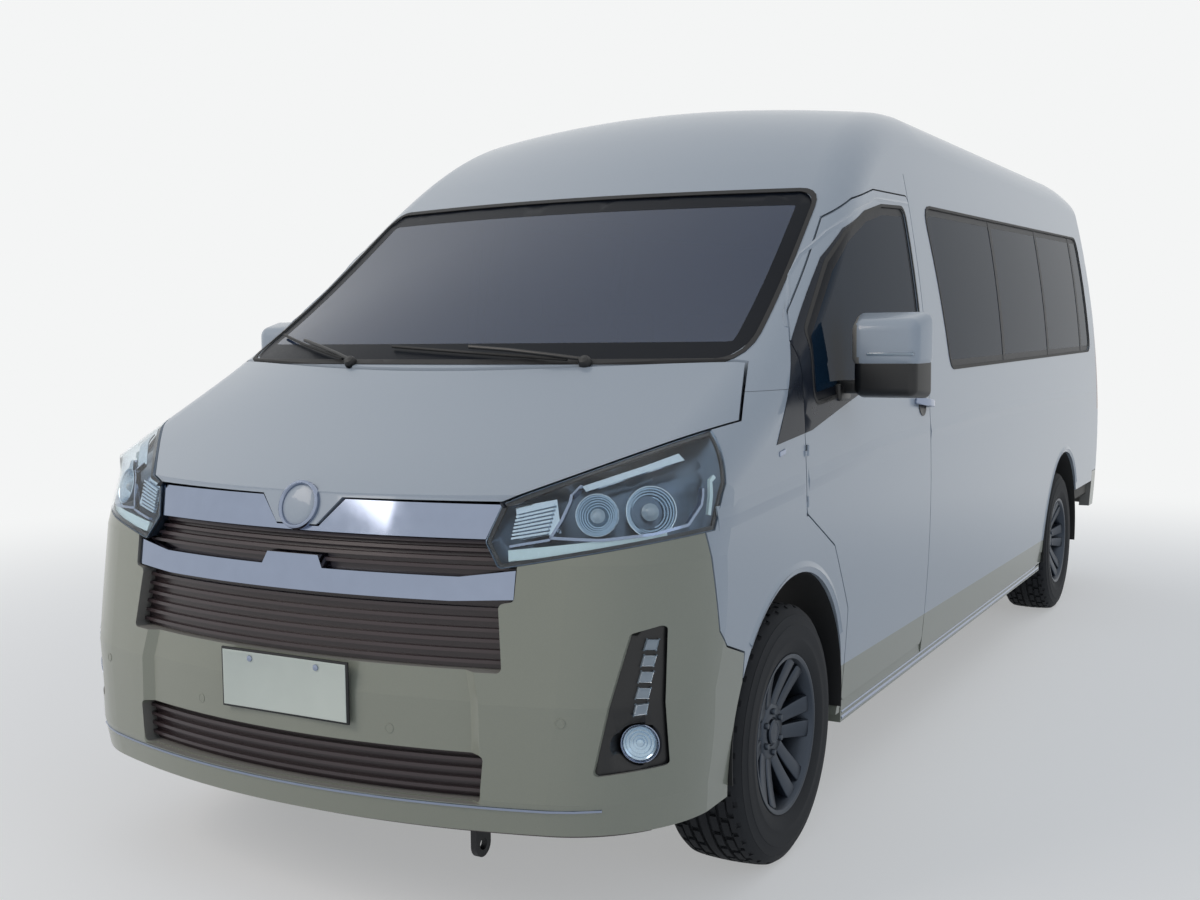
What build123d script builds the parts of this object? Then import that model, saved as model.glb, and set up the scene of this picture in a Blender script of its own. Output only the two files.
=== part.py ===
from build123d import *
from math import cos, hypot, radians, sin, sqrt
import os

os.makedirs("parts", exist_ok=True)

# A long-wheelbase, high-roof minibus. Millimetres, +Z up, the ground at z = 0.
# It faces -Y, so +X is its own left side, where the driver sits. The origin is
# on the ground under the middle of its length and width.

# Overall sizes
LENGTH = 5915
WIDTH = 1950
HEIGHT = 2280
FRONT_AXLE_Y = -2000
REAR_AXLE_Y = 1860
HUB_Z = 350
SILL_Z = 300
SILL_LOW_Z = 262
WALL = 55
PANEL_GAP = 5
NOSE_Y = -LENGTH / 2
TAIL_Y = LENGTH / 2

# Body section: a crown arc, a shoulder arc and one long arc down each side
SIDE_RADIUS = 5400
WAIST_Z = 900
SHOULDER_RADIUS = 170
SKIRT_Z = 230

# Sections from the nose to the roof: station y, height of the crown, crown radius
FRONT_SECTIONS = [
    (-3000, 975, 6500),
    (-2700, 1140, 6000),
    (-2330, 1343, 4500),
    (-2110, 1482, 3300),
    (-1500, 1878, 3300),
    (-926, 2204, 4200),
    (-620, 2268, 5200),
    (-400, HEIGHT, 6000),
]
REAR_SECTIONS = [
    (2200, HEIGHT, 6000),
    (2500, 2272, 6000),
    (2800, 2240, 6000),
    (3100, 2180, 6000),
]
REAR_CORNER_RADIUS = 110
TAIL_LEAN = 102

# Plan outlines of the nose: height, foremost y
NOSE_SECTIONS = [
    (150, -2880),
    (300, -2945),
    (375, NOSE_Y),
    (600, NOSE_Y + 2),
    (916, -2905),
    (1060, -2855),
    (2400, -2855),
]
NOSE_PLAN_RADIUS = 2250
NOSE_CORNER_RADIUS = 380
NOSE_SIDE_MARGIN = 3

# Glass
GLASS_INSET = 4
GLASS_THICKNESS = 6
GLASS_GAP = 0.4
SEAT_GAP = 0.4

# Wheels
TYRE_RADIUS = 356
TYRE_WIDTH = 235
RIM_RADIUS = 206
RIM_FLANGE_RADIUS = 219
TRACK_HALF = 837
ARCH_RADIUS = 412
REAR_ARCH_RADIUS = 430
SPOKE_PAIRS = 6
HUB_RADIUS = 78


def side_x(z, inset=0):
    """Half width of the body's side at a height"""
    return WIDTH / 2 - SIDE_RADIUS + sqrt((SIDE_RADIUS - inset) ** 2 - (z - WAIST_Z) ** 2)


def outer_crossing(centre_a, radius_a, centre_b, radius_b):
    """The crossing of two circles that lies furthest up and out"""
    dx = centre_b[0] - centre_a[0]
    dy = centre_b[1] - centre_a[1]
    gap = hypot(dx, dy)
    along = (radius_a**2 - radius_b**2 + gap**2) / (2 * gap)
    across = sqrt(radius_a**2 - along**2)
    middle_x = centre_a[0] + along * dx / gap
    middle_y = centre_a[1] + along * dy / gap
    crossings = [
        (middle_x + across * dy / gap, middle_y - across * dx / gap),
        (middle_x - across * dy / gap, middle_y + across * dx / gap),
    ]
    return max(crossings, key=lambda point: point[0] + point[1])


def toward(start, target, distance):
    """The point at a distance from start, in the direction of target"""
    dx = target[0] - start[0]
    dy = target[1] - start[1]
    length = hypot(dx, dy)
    return (start[0] + dx * distance / length, start[1] + dy * distance / length)


def cross_section(y, top, crown, inset):
    """The body's outline across at station y, drawn in by the inset"""
    crown_centre = (0, top - crown)
    side_centre = (WIDTH / 2 - SIDE_RADIUS, WAIST_Z)
    shoulder = outer_crossing(
        crown_centre, crown - SHOULDER_RADIUS, side_centre, SIDE_RADIUS - SHOULDER_RADIUS
    )
    crown_end = toward(crown_centre, shoulder, crown - inset)
    side_top = toward(side_centre, shoulder, SIDE_RADIUS - inset)
    chord_middle = ((crown_end[0] + side_top[0]) / 2, (crown_end[1] + side_top[1]) / 2)
    shoulder_middle = toward(shoulder, chord_middle, SHOULDER_RADIUS - inset)
    middle_z = (side_top[1] + SKIRT_Z) / 2
    side_middle = (side_x(middle_z, inset), middle_z)
    foot = (side_x(SKIRT_Z, inset), SKIRT_Z)
    with BuildSketch(Plane((0, y, 0), x_dir=(1, 0, 0), z_dir=(0, -1, 0))) as outline:
        with BuildLine():
            ThreePointArc((-crown_end[0], crown_end[1]), (0, top - inset), crown_end)
            ThreePointArc(crown_end, shoulder_middle, side_top)
            ThreePointArc(side_top, side_middle, foot)
            Line(foot, (-foot[0], foot[1]))
            ThreePointArc(
                (-foot[0], foot[1]), (-side_middle[0], side_middle[1]), (-side_top[0], side_top[1])
            )
            ThreePointArc(
                (-side_top[0], side_top[1]),
                (-shoulder_middle[0], shoulder_middle[1]),
                (-crown_end[0], crown_end[1]),
            )
        make_face()
    return outline.sketch


def nose_outline(z, front_y, inset):
    """The nose's plan outline at a height: a wide arc and two corner arcs"""
    radius = NOSE_PLAN_RADIUS - inset
    corner = NOSE_CORNER_RADIUS - inset
    front = front_y + inset
    centre_y = front + radius
    half = side_x(min(z, WAIST_Z + 500)) + NOSE_SIDE_MARGIN - inset
    corner_x = half - corner
    corner_y = centre_y - sqrt((radius - corner) ** 2 - corner_x**2)
    meet = toward((0, centre_y), (corner_x, corner_y), radius)
    corner_middle = toward((corner_x, corner_y), (half, meet[1]), corner)
    back_y = 0
    with BuildSketch(Plane.XY.offset(z)) as outline:
        with BuildLine():
            ThreePointArc((-meet[0], meet[1]), (0, front), meet)
            ThreePointArc(meet, corner_middle, (half, corner_y))
            Line((half, corner_y), (half, back_y))
            Line((half, back_y), (-half, back_y))
            Line((-half, back_y), (-half, corner_y))
            ThreePointArc((-half, corner_y), (-corner_middle[0], corner_middle[1]), (-meet[0], meet[1]))
        make_face()
    return outline.sketch


def nose_form(inset):
    """Only the nose's plan form, drawn in by the inset"""
    with BuildPart() as nose:
        loft([nose_outline(z, y, inset) for z, y in NOSE_SECTIONS], ruled=True)
    return nose.part


def body_form(inset):
    """The whole body's outer form, drawn in by the inset"""
    nose = nose_form(inset)
    with BuildPart() as tail_cut:
        with BuildSketch(Plane.YZ):
            with BuildLine():
                Polyline(
                    (-2500, 0),
                    (TAIL_Y - inset, 0),
                    (TAIL_Y - inset, WAIST_Z + 100),
                    (TAIL_Y - inset - TAIL_LEAN, HEIGHT + 200),
                    (-2500, HEIGHT + 200),
                    close=True,
                )
            make_face()
        extrude(amount=WIDTH, both=True)
    with BuildPart() as form:
        loft([cross_section(y, top, crown, inset) for y, top, crown in FRONT_SECTIONS])
        add(nose, mode=Mode.INTERSECT)
        with BuildSketch(Plane((0, FRONT_SECTIONS[-1][0], 0), x_dir=(1, 0, 0), z_dir=(0, -1, 0))):
            add(cross_section(0, HEIGHT, FRONT_SECTIONS[-1][2], inset))
        extrude(amount=FRONT_SECTIONS[-1][0] - REAR_SECTIONS[0][0])
    with BuildPart() as tail:
        loft([cross_section(y, top, crown, inset) for y, top, crown in REAR_SECTIONS])
        add(tail_cut.part, mode=Mode.INTERSECT)
        rear_edges = tail.edges().filter_by(lambda edge: edge.center().Y > TAIL_Y - 300 - inset)
        rear_edges = rear_edges.filter_by(lambda edge: edge.center().Z > SKIRT_Z + 1)
        rear_edges = rear_edges.filter_by(lambda edge: not is_inside_rear(edge))
        if REAR_CORNER_RADIUS > inset:
            fillet(rear_edges, REAR_CORNER_RADIUS - inset)
    with BuildPart() as whole:
        add(form.part)
        add(tail.part)
    return whole.part


def is_inside_rear(edge):
    """True for the level crease across the tail, which is no corner"""
    box = edge.bounding_box()
    return box.size.X > WIDTH * 0.6 and edge.center().Z < HEIGHT - 200


# Floor and frame
FLOOR_Z = 480
FLOOR_THICKNESS = 25
FLOOR_TOP = FLOOR_Z + FLOOR_THICKNESS
FLOOR_FRONT_Y = -1900
FLOOR_REAR_Y = 2850
FLOOR_HALF = side_x(FLOOR_Z, WALL) - 1
ARCH_CENTRE_Z = 385
REAR_TUB_X = 650
FRONT_TUB_X = 505
TUB_WALL = 12
RAIL_X = 435
RAIL_WIDTH = 70
RAIL_HEIGHT = 80
RAIL_FRONT_Y = -2780
COWL_Z = 1150
COWL_FRONT_Y = -2300
COWL_HALF = 820

# Axles, springs and drive
KINGPIN_X = 790
ARM_Z = 262
ARM_THICKNESS = 22
SPRING_X = 435
SPRING_FRONT_Y = 1240
SPRING_REAR_Y = 2480
SPRING_END_Z = 370
SPRING_LOW_Z = 285
GEARBOX_Z = 385
SPARE_Y = 2520
SPARE_Z = 340

# Tow eyes
TOW_EYE_RADIUS = 15
TOW_PLATE = 16
FRONT_TOW_Y = -2740
FRONT_TOW_Z = 205
REAR_TOW_Y = 2815
REAR_TOW_Z = 340

# Wheel details, along the axle from the wheel's middle
RIM_SEAT_GAP = 0.3
HUB_FACE_X = 20
SPOKE_BACK_X = 55
SPOKE_DEPTH = 32
SPOKE_OFFSET = 20
SPOKE_SPREAD = 5
SPOKE_WIDTH = 24
TYRE_PROFILE = [(0, TYRE_RADIUS), (88, TYRE_RADIUS - 6), (110, TYRE_RADIUS - 32), (117.5, 281), (113, 228), (99, RIM_RADIUS)]

# Cab and cabin
STEERING_RADIUS = 190
STEERING_CENTRE = (430, -1500, 1120)
STEERING_TILT = 30
COLUMN_REACH = 100
CUSHION_Z = 830
FRONT_SEAT_Y = -1330
SEAT_WIDTH = 430
WIDE_ROW = [620, 180, -610]
REAR_ROW = [432, -1, -434]
BASE_LIMIT_X = 640
SEAT_ROWS = [(-480, WIDE_ROW), (290, WIDE_ROW), (1060, WIDE_ROW), (1850, REAR_ROW)]
MIRROR_NEAR_X = 985
MIRROR_FAR_X = 1225
MIRROR_LOW_Z = 1245
MIRROR_HIGH_Z = 1500

steering_plane = Plane(
    origin=STEERING_CENTRE, x_dir=(1, 0, 0), z_dir=(0, cos(radians(STEERING_TILT)), sin(radians(STEERING_TILT)))
)


def side_tool(points, radius=0, grow=0, near=-WIDTH, far=WIDTH):
    """A prism across the body from an outline in side view, points as (y, z)"""
    with BuildPart() as tool:
        with BuildSketch(Plane.YZ.offset(near)) as sketch:
            Polygon(*points, align=None)
            if radius:
                fillet(sketch.vertices(), radius)
            if grow:
                offset(amount=grow)
        extrude(amount=far - near)
    return tool.part


def front_tool(points, radius=0, grow=0, near=-3500, far=3500):
    """A prism along the body from an outline in front view, points as (x, z)"""
    with BuildPart() as tool:
        with BuildSketch(Plane.XZ.offset(-near)) as sketch:
            Polygon(*points, align=None)
            if radius:
                fillet(sketch.vertices(), radius)
            if grow:
                offset(amount=grow)
        extrude(amount=near - far)
    return tool.part


def mirrored(points):
    """Points (x, z) of the right half of an outline, closed by their mirror images"""
    return points + [(-x, z) for x, z in reversed(points)]


def common(part, tool):
    """What a part and a tool share"""
    with BuildPart() as shared:
        add(part)
        add(tool, mode=Mode.INTERSECT)
    return shared.part


def without(part, *tools):
    """A part with tools cut away"""
    with BuildPart() as rest:
        add(part)
        for tool in tools:
            add(tool, mode=Mode.SUBTRACT)
    return rest.part


def joined(*parts):
    """Parts made one"""
    with BuildPart() as whole:
        for part in parts:
            add(part)
    return whole.part


def box_between(low, high):
    """A box from its lowest to its highest corner"""
    with BuildPart() as box:
        with BuildSketch(Plane.XY.offset(low[2])):
            with Locations(((low[0] + high[0]) / 2, (low[1] + high[1]) / 2)):
                Rectangle(high[0] - low[0], high[1] - low[1])
        extrude(amount=high[2] - low[2])
    return box.part


def bar_across(y, z, radius, half):
    """A round bar along X"""
    with BuildPart() as bar:
        with BuildSketch(Plane.YZ.offset(-half)):
            with Locations((y, z)):
                Circle(radius)
        extrude(amount=2 * half)
    return bar.part


def save(part, name):
    """Label a finished piece and write its file"""
    part.label = name
    export_step(part, f"parts/{name}.step")


outer = body_form(0)
inner = body_form(WALL)
glass_layer = without(body_form(GLASS_INSET), body_form(GLASS_INSET + GLASS_THICKNESS))
shell = without(outer, inner)

# Outlines in side view, as (y, z)
DOOR_FRONT_Y = -1930
DOOR_REAR_Y = -690
DOOR_SILL_Z = 335
DOOR_NEAR_X = 700
DOOR = [
    (DOOR_FRONT_Y, 1412),
    (-1686, 1668),
    (-1500, 1768),
    (-1290, 1850),
    (-1080, 1895),
    (DOOR_REAR_Y, 1905),
    (DOOR_REAR_Y, DOOR_SILL_Z),
    (-1560, DOOR_SILL_Z),
    (-1560, 620),
    (-1700, 830),
    (DOOR_FRONT_Y, 950),
]
DOOR_GLASS = [
    (-1845, 1245),
    (-1845, 1440),
    (-1584, 1643),
    (-1420, 1735),
    (-1210, 1810),
    (-1020, 1845),
    (DOOR_REAR_Y - 70, 1858),
    (DOOR_REAR_Y - 50, 1330),
]
SIDE_WINDOW = [
    (-505, 1882),
    (-395, 1405),
    (-370, 1305),
    (2640, 1322),
    (2600, 1935),
]
SLIDE_WINDOW = [(-505, 1882), (-395, 1405), (-370, 1305), (455, 1309), (455, 1898)]
RIGHT_WINDOW = [(590, 1900), (590, 1310), (2640, 1322), (2600, 1935)]
SLIDING_DOOR = [(-600, DOOR_SILL_Z), (-600, 1960), (525, 1960), (525, DOOR_SILL_Z)]
SLIDE_RAIL_Z = 1125
ROOF_SEAM_Z = 1985
BODY_SIDE = [
    (DOOR_REAR_Y + PANEL_GAP, SILL_Z),
    (DOOR_REAR_Y + PANEL_GAP, ROOF_SEAM_Z),
    (2990, ROOF_SEAM_Z),
    (2990, 575),
    (2200, 575),
    (1500, SILL_Z),
]
BUMPER_LOW_Z = 298
BUMPER_SEAM = [
    (-3100, BUMPER_LOW_Z),
    (-3100, 960),
    (-2548, 978),
    (-2520, 800),
    (-2510, 735),
    (-2470, 690),
    (-2360, 652),
    (-2376, BUMPER_LOW_Z),
]
TRAY_DEPTH = 15
TRAY_INSET = 28
TRAY_REAR_Y = -2480
BADGE_TAB = [(63, 986), (125, 1053)]
LAMP_TIP = (957, -2383)
BONNET_FRONT = BADGE_TAB + [(545, 1056), (958, 1237), (1100, 1299), (1100, 1900)]
LAMP_FRONT = [(548, 1056), (1100, 1299), (1100, 1003), (562, 905), (520, 965)]
LAMP_SIDE = [(-3100, 800), (-3100, 1500), (-2250, 1500), (-2383, 1232), (-2515, 975), (-2560, 800)]
COWL_CENTRE_Y = -2330
COWL_GAP = 14
COWL_CORNER = (868, -2112)
WINDSCREEN = mirrored([(855, 1372), (797, 1872)])
WINDSCREEN_RADIUS = 60


WING_TOP_Z = 1290
WING = [
    (-2600, WING_TOP_Z), (DOOR_FRONT_Y - PANEL_GAP, WING_TOP_Z), (DOOR_FRONT_Y - PANEL_GAP, 940),
    (-1565, 940), (-1565, SILL_Z), (-2600, SILL_Z),
]
GRILLE_OPENING = mirrored([(585, 671), (566, 826), (602, 832), (604, 905), (600, 1200)])
GRILLE_BACK = mirrored([(590, 660), (590, 828), (603, 903), (560, 903), (516, 965), (543, 1046)])
UPPER_BAR = mirrored([(517, 970), (542, 1048), (131, 1048), (66, 981)])
LOWER_BAR = mirrored([(447, 828), (597, 836), (598, 902), (465, 884), (95, 884), (80, 914)])
LOWER_OPENING = mirrored([(535, 368), (546, 480)])
SLATS = [384, 408, 432, 456, 684, 708, 732, 756, 780, 804, 898, 918, 938, 956]
SLAT_HEIGHT = 8
GRILLE_BACK_INSET = 45
GRILLE_BACK_DEPTH = 6
SLAT_INSET = 30
BAR_INSET = 7
RECESS_DEPTH = 20
RECESS_LOW_Z = 364
RECESS_HIGH_Z = 960
FOG_BEZEL = [(784, 440), (913, 451), (909, 779), (848, 762)]
FOG_BEZEL_INSET = 8
FOG_BEZEL_DEPTH = 42
FOG_LAMP = (866, 507)
FOG_LAMP_RADIUS = 46
TAILGATE = [(-770, 2120), (770, 2120), (800, 1600), (812, 640), (-812, 640), (-800, 1600)]
TAIL_WINDOW = [(-690, 1950), (690, 1950), (735, 1330), (-735, 1330)]
TAIL_LAMP = [(820, 1560), (1000, 1560), (1000, 980), (832, 980)]
REAR_BUMPER_TOP = 630
REAR_BUMPER_FOOT = 430
TAIL_DEPTH_Y = 2740


def bonnet_plan(back, grow):
    """What lies inside the bonnet's rear and side edges, moved out by two distances"""
    corner_x = COWL_CORNER[0] + grow
    corner_y = COWL_CORNER[1] + back
    tip_x = LAMP_TIP[0] + grow
    tip_y = LAMP_TIP[1] + grow
    with BuildPart() as tool:
        with BuildSketch(Plane.XY.offset(900)):
            with BuildLine():
                Polyline(
                    (corner_x, corner_y),
                    (tip_x, tip_y),
                    (1100, tip_y),
                    (1100, -3200),
                    (-1100, -3200),
                    (-1100, tip_y),
                    (-tip_x, tip_y),
                    (-corner_x, corner_y),
                )
                ThreePointArc(
                    (-corner_x, corner_y), (0, COWL_CENTRE_Y + back), (corner_x, corner_y)
                )
            make_face()
        extrude(amount=1000)
    return tool.part


def side_core(inset):
    """The space inside the left side wall, drawn in by the inset"""
    with BuildPart() as core:
        with BuildSketch(Plane.XZ.offset(-3200)):
            with Locations((WIDTH / 2 - SIDE_RADIUS, WAIST_Z)):
                Circle(SIDE_RADIUS - inset)
            with Locations((WIDTH / 2 - SIDE_RADIUS - 1500, WAIST_Z)):
                Rectangle(2 * SIDE_RADIUS, 3 * SIDE_RADIUS, mode=Mode.SUBTRACT)
        extrude(amount=6400)
    return core.part


# Tools that cut the shell into its panels
arch_tool = joined(
    bar_across(FRONT_AXLE_Y, 385, ARCH_RADIUS, WIDTH), bar_across(REAR_AXLE_Y, 385, REAR_ARCH_RADIUS, WIDTH)
)
door_tool = without(side_tool(DOOR, 25, 0, DOOR_NEAR_X), side_core(WALL))
door_hole = without(side_tool(DOOR, 25, PANEL_GAP, DOOR_NEAR_X), side_core(WALL + PANEL_GAP))
door_glass_hole = side_tool(DOOR_GLASS, 40)
side_window_hole = side_tool(SIDE_WINDOW, 70)
slide_window_hole = side_tool(SLIDE_WINDOW, 60)
right_window_hole = side_tool(RIGHT_WINDOW, 60)
slide_tool = side_tool(SLIDING_DOOR, 30, 0, DOOR_NEAR_X)
slide_hole = side_tool(SLIDING_DOOR, 30, PANEL_GAP, DOOR_NEAR_X)
bonnet_tool = common(front_tool(mirrored(BONNET_FRONT), far=-1000), bonnet_plan(0, 0))
bonnet_hole = common(
    front_tool(mirrored(BONNET_FRONT), 0, PANEL_GAP, far=-1000), bonnet_plan(COWL_GAP, PANEL_GAP)
)
lamp_left = common(front_tool(LAMP_FRONT, 15, far=-2200), side_tool(LAMP_SIDE))
lamp_hole_left = common(front_tool(LAMP_FRONT, 15, SEAT_GAP, far=-2200), side_tool(LAMP_SIDE, 0, SEAT_GAP))
windscreen_hole = front_tool(WINDSCREEN, WINDSCREEN_RADIUS, far=-1200)
bumper_tool = side_tool(BUMPER_SEAM)
roof_tool = side_tool([(-1480, ROOF_SEAM_Z), (3100, ROOF_SEAM_Z), (3100, 2400), (-1480, 2400)])


def both_sides(part):
    """A part and its mirror image"""
    with BuildPart() as pair:
        add(part)
        mirror(about=Plane.YZ)
    return pair.part


def mirror_image(part):
    """Only the mirror image of a part"""
    with BuildPart() as image:
        mirror(part, about=Plane.YZ)
    return image.part


# Hinge barrels: one half on the body and one on the moving panel
DOOR_HINGE_X = 974
DOOR_HINGE_Y = -1925
DOOR_HINGE_RADIUS = 4
DOOR_HINGE_LEVELS = (965, 1105)
HINGE_HALF = 15
RUN_GAP = 0.3
BONNET_AXIS_Y = -2100
BONNET_AXIS_Z = 1366
BONNET_ARM_X = (712, 738)
BONNET_BRACKET_X = (BONNET_ARM_X[1] + RUN_GAP, BONNET_ARM_X[1] + 10)
BONNET_BARREL_RADIUS = 11
BONNET_ARM = [(26, -20), (26, -100), (-116, -100), (-116, -44)]
BONNET_ARM_THICKNESS = 14
TAIL_AXIS_Y = 2878
TAIL_AXIS_Z = 2122.5
TAIL_BARREL_RADIUS = 6
TAIL_HINGE_X = 520


def upright_barrel(radius, low, high):
    """A round barrel on the left front door's axis"""
    with BuildPart() as barrel:
        with BuildSketch(Plane.XY.offset(low)):
            with Locations((DOOR_HINGE_X, DOOR_HINGE_Y)):
                Circle(radius)
        extrude(amount=high - low)
    return barrel.part


def wing_hinge(level, grow):
    """The wing's half of a door hinge, grown by the running gap to cut its notch"""
    low = level - grow
    high = level + HINGE_HALF + grow
    leaf = box_between(
        (DOOR_HINGE_X - 8 - grow, DOOR_FRONT_Y - PANEL_GAP - 8, low), (DOOR_HINGE_X + grow, DOOR_HINGE_Y, high)
    )
    return joined(leaf, upright_barrel(DOOR_HINGE_RADIUS + grow, low, high))


def door_hinge(level):
    """The door's half of a hinge, above the wing's half"""
    low = level + HINGE_HALF + RUN_GAP
    high = level + 2 * HINGE_HALF
    leaf = box_between((DOOR_HINGE_X - 10, DOOR_HINGE_Y, low), (DOOR_HINGE_X, DOOR_HINGE_Y + 10, high))
    return joined(leaf, upright_barrel(DOOR_HINGE_RADIUS, low, high))


def level_barrel(y, z, radius, near, far):
    """A round barrel along X"""
    with BuildPart() as barrel:
        with BuildSketch(Plane.YZ.offset(min(near, far))):
            with Locations((y, z)):
                Circle(radius)
        extrude(amount=abs(far - near))
    return barrel.part


def bonnet_arm():
    """The left gooseneck arm from the bonnet's axis down, forward and up into it"""
    near, far = BONNET_ARM_X
    half = BONNET_ARM_THICKNESS / 2
    points = [(BONNET_AXIS_Y, BONNET_AXIS_Z)] + [(BONNET_AXIS_Y + y, BONNET_AXIS_Z + z) for y, z in BONNET_ARM]
    with BuildPart() as arm:
        add(level_barrel(BONNET_AXIS_Y, BONNET_AXIS_Z, BONNET_BARREL_RADIUS, near, far))
        for start, end in zip(points, points[1:]):
            with BuildSketch(Plane.YZ.offset(near)):
                with Locations(((start[0] + end[0]) / 2, (start[1] + end[1]) / 2)):
                    if start[0] == end[0]:
                        Rectangle(2 * half, abs(end[1] - start[1]) + 2 * half)
                    elif start[1] == end[1]:
                        Rectangle(abs(end[0] - start[0]) + 2 * half, 2 * half)
                    else:
                        Rectangle(abs(end[0] - start[0]) + 2 * half, abs(end[1] - start[1]) + 2 * half)
            extrude(amount=far - near)
    return arm.part


hinge_pocket = box_between(
    (BONNET_ARM_X[0] - 8, BONNET_AXIS_Y - 32, BONNET_AXIS_Z - 130),
    (BONNET_BRACKET_X[1] + 8, BONNET_AXIS_Y + 50, BONNET_AXIS_Z + 30),
)

lamps_tool = both_sides(lamp_left)
lamps_hole = both_sides(lamp_hole_left)
left_half = box_between((0, -3200, 0), (1300, 3200, 2600))

tailgate_tool = front_tool(TAILGATE, 40, near=TAIL_DEPTH_Y)
tailgate_hole = front_tool(TAILGATE, 40, PANEL_GAP, near=TAIL_DEPTH_Y)
tail_window_hole = front_tool(TAIL_WINDOW, 70, near=TAIL_DEPTH_Y)
tail_window_glass = front_tool(TAIL_WINDOW, 70, -GLASS_GAP, near=TAIL_DEPTH_Y)
tail_lamp_tool = both_sides(front_tool(TAIL_LAMP, 20, near=TAIL_DEPTH_Y + 80))
tail_lamp_hole = both_sides(front_tool(TAIL_LAMP, 20, SEAT_GAP, near=TAIL_DEPTH_Y + 80 - SEAT_GAP))
rear_bumper_tool = box_between((-1300, TAIL_DEPTH_Y, REAR_BUMPER_FOOT), (1300, 3200, REAR_BUMPER_TOP))
rear_bumper_hole = box_between((-1300, TAIL_DEPTH_Y - 3, 0), (1300, 3200, REAR_BUMPER_TOP + 3))

# Roof, with the forehead down to the windscreen
roof_panel = without(common(shell, roof_tool), tailgate_hole)
for side in (1, -1):
    start = side * TAIL_HINGE_X
    roof_end = side * (TAIL_HINGE_X + HINGE_HALF)
    gate_end = side * (TAIL_HINGE_X - HINGE_HALF)
    notch = level_barrel(TAIL_AXIS_Y, TAIL_AXIS_Z, TAIL_BARREL_RADIUS + 1, start, gate_end)
    barrel = level_barrel(TAIL_AXIS_Y, TAIL_AXIS_Z, TAIL_BARREL_RADIUS, start, roof_end)
    roof_panel = joined(without(roof_panel, notch), barrel)
save(roof_panel, "roof_panel")

# Front frame: the two pillars and the header beside and above the windscreen
PILLAR_FRAME = [
    (-2500, WING_TOP_Z + 1),
    (DOOR_REAR_Y, WING_TOP_Z + 1),
    (DOOR_REAR_Y, ROOF_SEAM_Z),
    (-1880, ROOF_SEAM_Z),
    (-2500, 1700),
]
doors_hole = both_sides(door_hole)
front_frame = without(
    common(shell, side_tool(PILLAR_FRAME)), windscreen_hole, doors_hole, bonnet_hole, lamps_hole,
    both_sides(hinge_pocket),
)
save(front_frame, "front_frame")

# Bonnet
bonnet = joined(common(shell, bonnet_tool), both_sides(bonnet_arm()))

# Body sides behind the front doors, with one long window each
body_side = common(common(shell, side_tool(BODY_SIDE)), left_half)
body_side = without(body_side, arch_tool, tailgate_hole, tail_lamp_hole, rear_bumper_hole)
save(without(body_side, side_window_hole), "body_side_left")

# The right side has a sliding door, shut, and the rail that its arm runs in
rail_slot = box_between((955, 560, SLIDE_RAIL_Z - 14), (1100, 1780, SLIDE_RAIL_Z + 14))
right_side = without(body_side, right_window_hole, slide_hole, rail_slot)
save(mirror_image(right_side), "body_side_right")
sliding_door = without(common(shell, slide_tool), slide_window_hole)
save(mirror_image(sliding_door), "sliding_door")

# Front wings, from the bumper to the front doors
wings = without(
    common(shell, side_tool(WING)), bonnet_hole, lamps_hole, doors_hole, arch_tool, side_tool(BUMPER_SEAM, 0, PANEL_GAP)
)
for level in DOOR_HINGE_LEVELS:
    wings = joined(wings, both_sides(wing_hinge(level, 0)))
save(wings, "front_wings")

# Front bumper with its grille openings
with BuildPart() as middle_zone:
    for y, half in ((-3000, 783), (-2850, 444)):
        with BuildSketch(Plane.XZ.offset(-y)):
            Polygon(*mirrored([(half, RECESS_LOW_Z), (half, RECESS_HIGH_Z)]), align=None)
    loft(ruled=True)
recess = without(middle_zone.part, nose_form(RECESS_DEPTH))
fog_hole = both_sides(front_tool(FOG_BEZEL, 10, far=-2500))
bumper = common(shell, bumper_tool)
bumper = without(bumper, lamps_hole, front_tool(GRILLE_OPENING, 12, far=-2500), front_tool(LOWER_OPENING, 12, far=-2500))
bumper = without(bumper, arch_tool, front_tool(mirrored(BONNET_FRONT), 0, PANEL_GAP, far=-1000), recess, fog_hole)
save(bumper, "front_bumper")

# Grilles: a dark back plate with level slats on it, above and below the plate bar
back_limit = nose_form(GRILLE_BACK_INSET + GRILLE_BACK_DEPTH)
back_plate = without(nose_form(GRILLE_BACK_INSET), back_limit)
slat_layer = without(nose_form(SLAT_INSET), back_limit)
upper_area = common(front_tool(GRILLE_OPENING, 12, -SEAT_GAP, far=-2500), front_tool(GRILLE_BACK, far=-2500))
lower_area = front_tool(LOWER_OPENING, 12, -SEAT_GAP, far=-2500)
bars_hole = joined(
    front_tool(UPPER_BAR, 0, SEAT_GAP, far=-2500), front_tool(LOWER_BAR, 0, SEAT_GAP, far=-2500)
)
with BuildPart() as slat_levels:
    for z in SLATS:
        add(box_between((-700, -3100, z), (700, -2500, z + SLAT_HEIGHT)))
slats = without(common(slat_layer, slat_levels.part), bars_hole)
grille_form = without(joined(back_plate, slats), front_tool(mirrored(BONNET_FRONT), 0, PANEL_GAP, far=-1000))
tray = common(
    nose_form(TRAY_INSET),
    box_between((-860, -3100, BUMPER_LOW_Z - SEAT_GAP - TRAY_DEPTH), (860, TRAY_REAR_Y, BUMPER_LOW_Z - SEAT_GAP)),
)
tow_slot = box_between((RAIL_X - 20, FRONT_TOW_Y - 45, 200), (RAIL_X + 20, FRONT_TOW_Y + 45, BUMPER_LOW_Z))
with BuildPart() as grille:
    add(common(grille_form, upper_area))
    add(common(grille_form, lower_area))
    add(without(tray, tow_slot))
save(grille.part, "grille")

# Two bright bars across the upper grille
bar_layer = without(nose_form(BAR_INSET), nose_form(GRILLE_BACK_INSET - SEAT_GAP))
bright_bars = common(bar_layer, joined(front_tool(UPPER_BAR, far=-2500), front_tool(LOWER_BAR, far=-2500)))
save(bright_bars, "grille_chrome")

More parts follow.
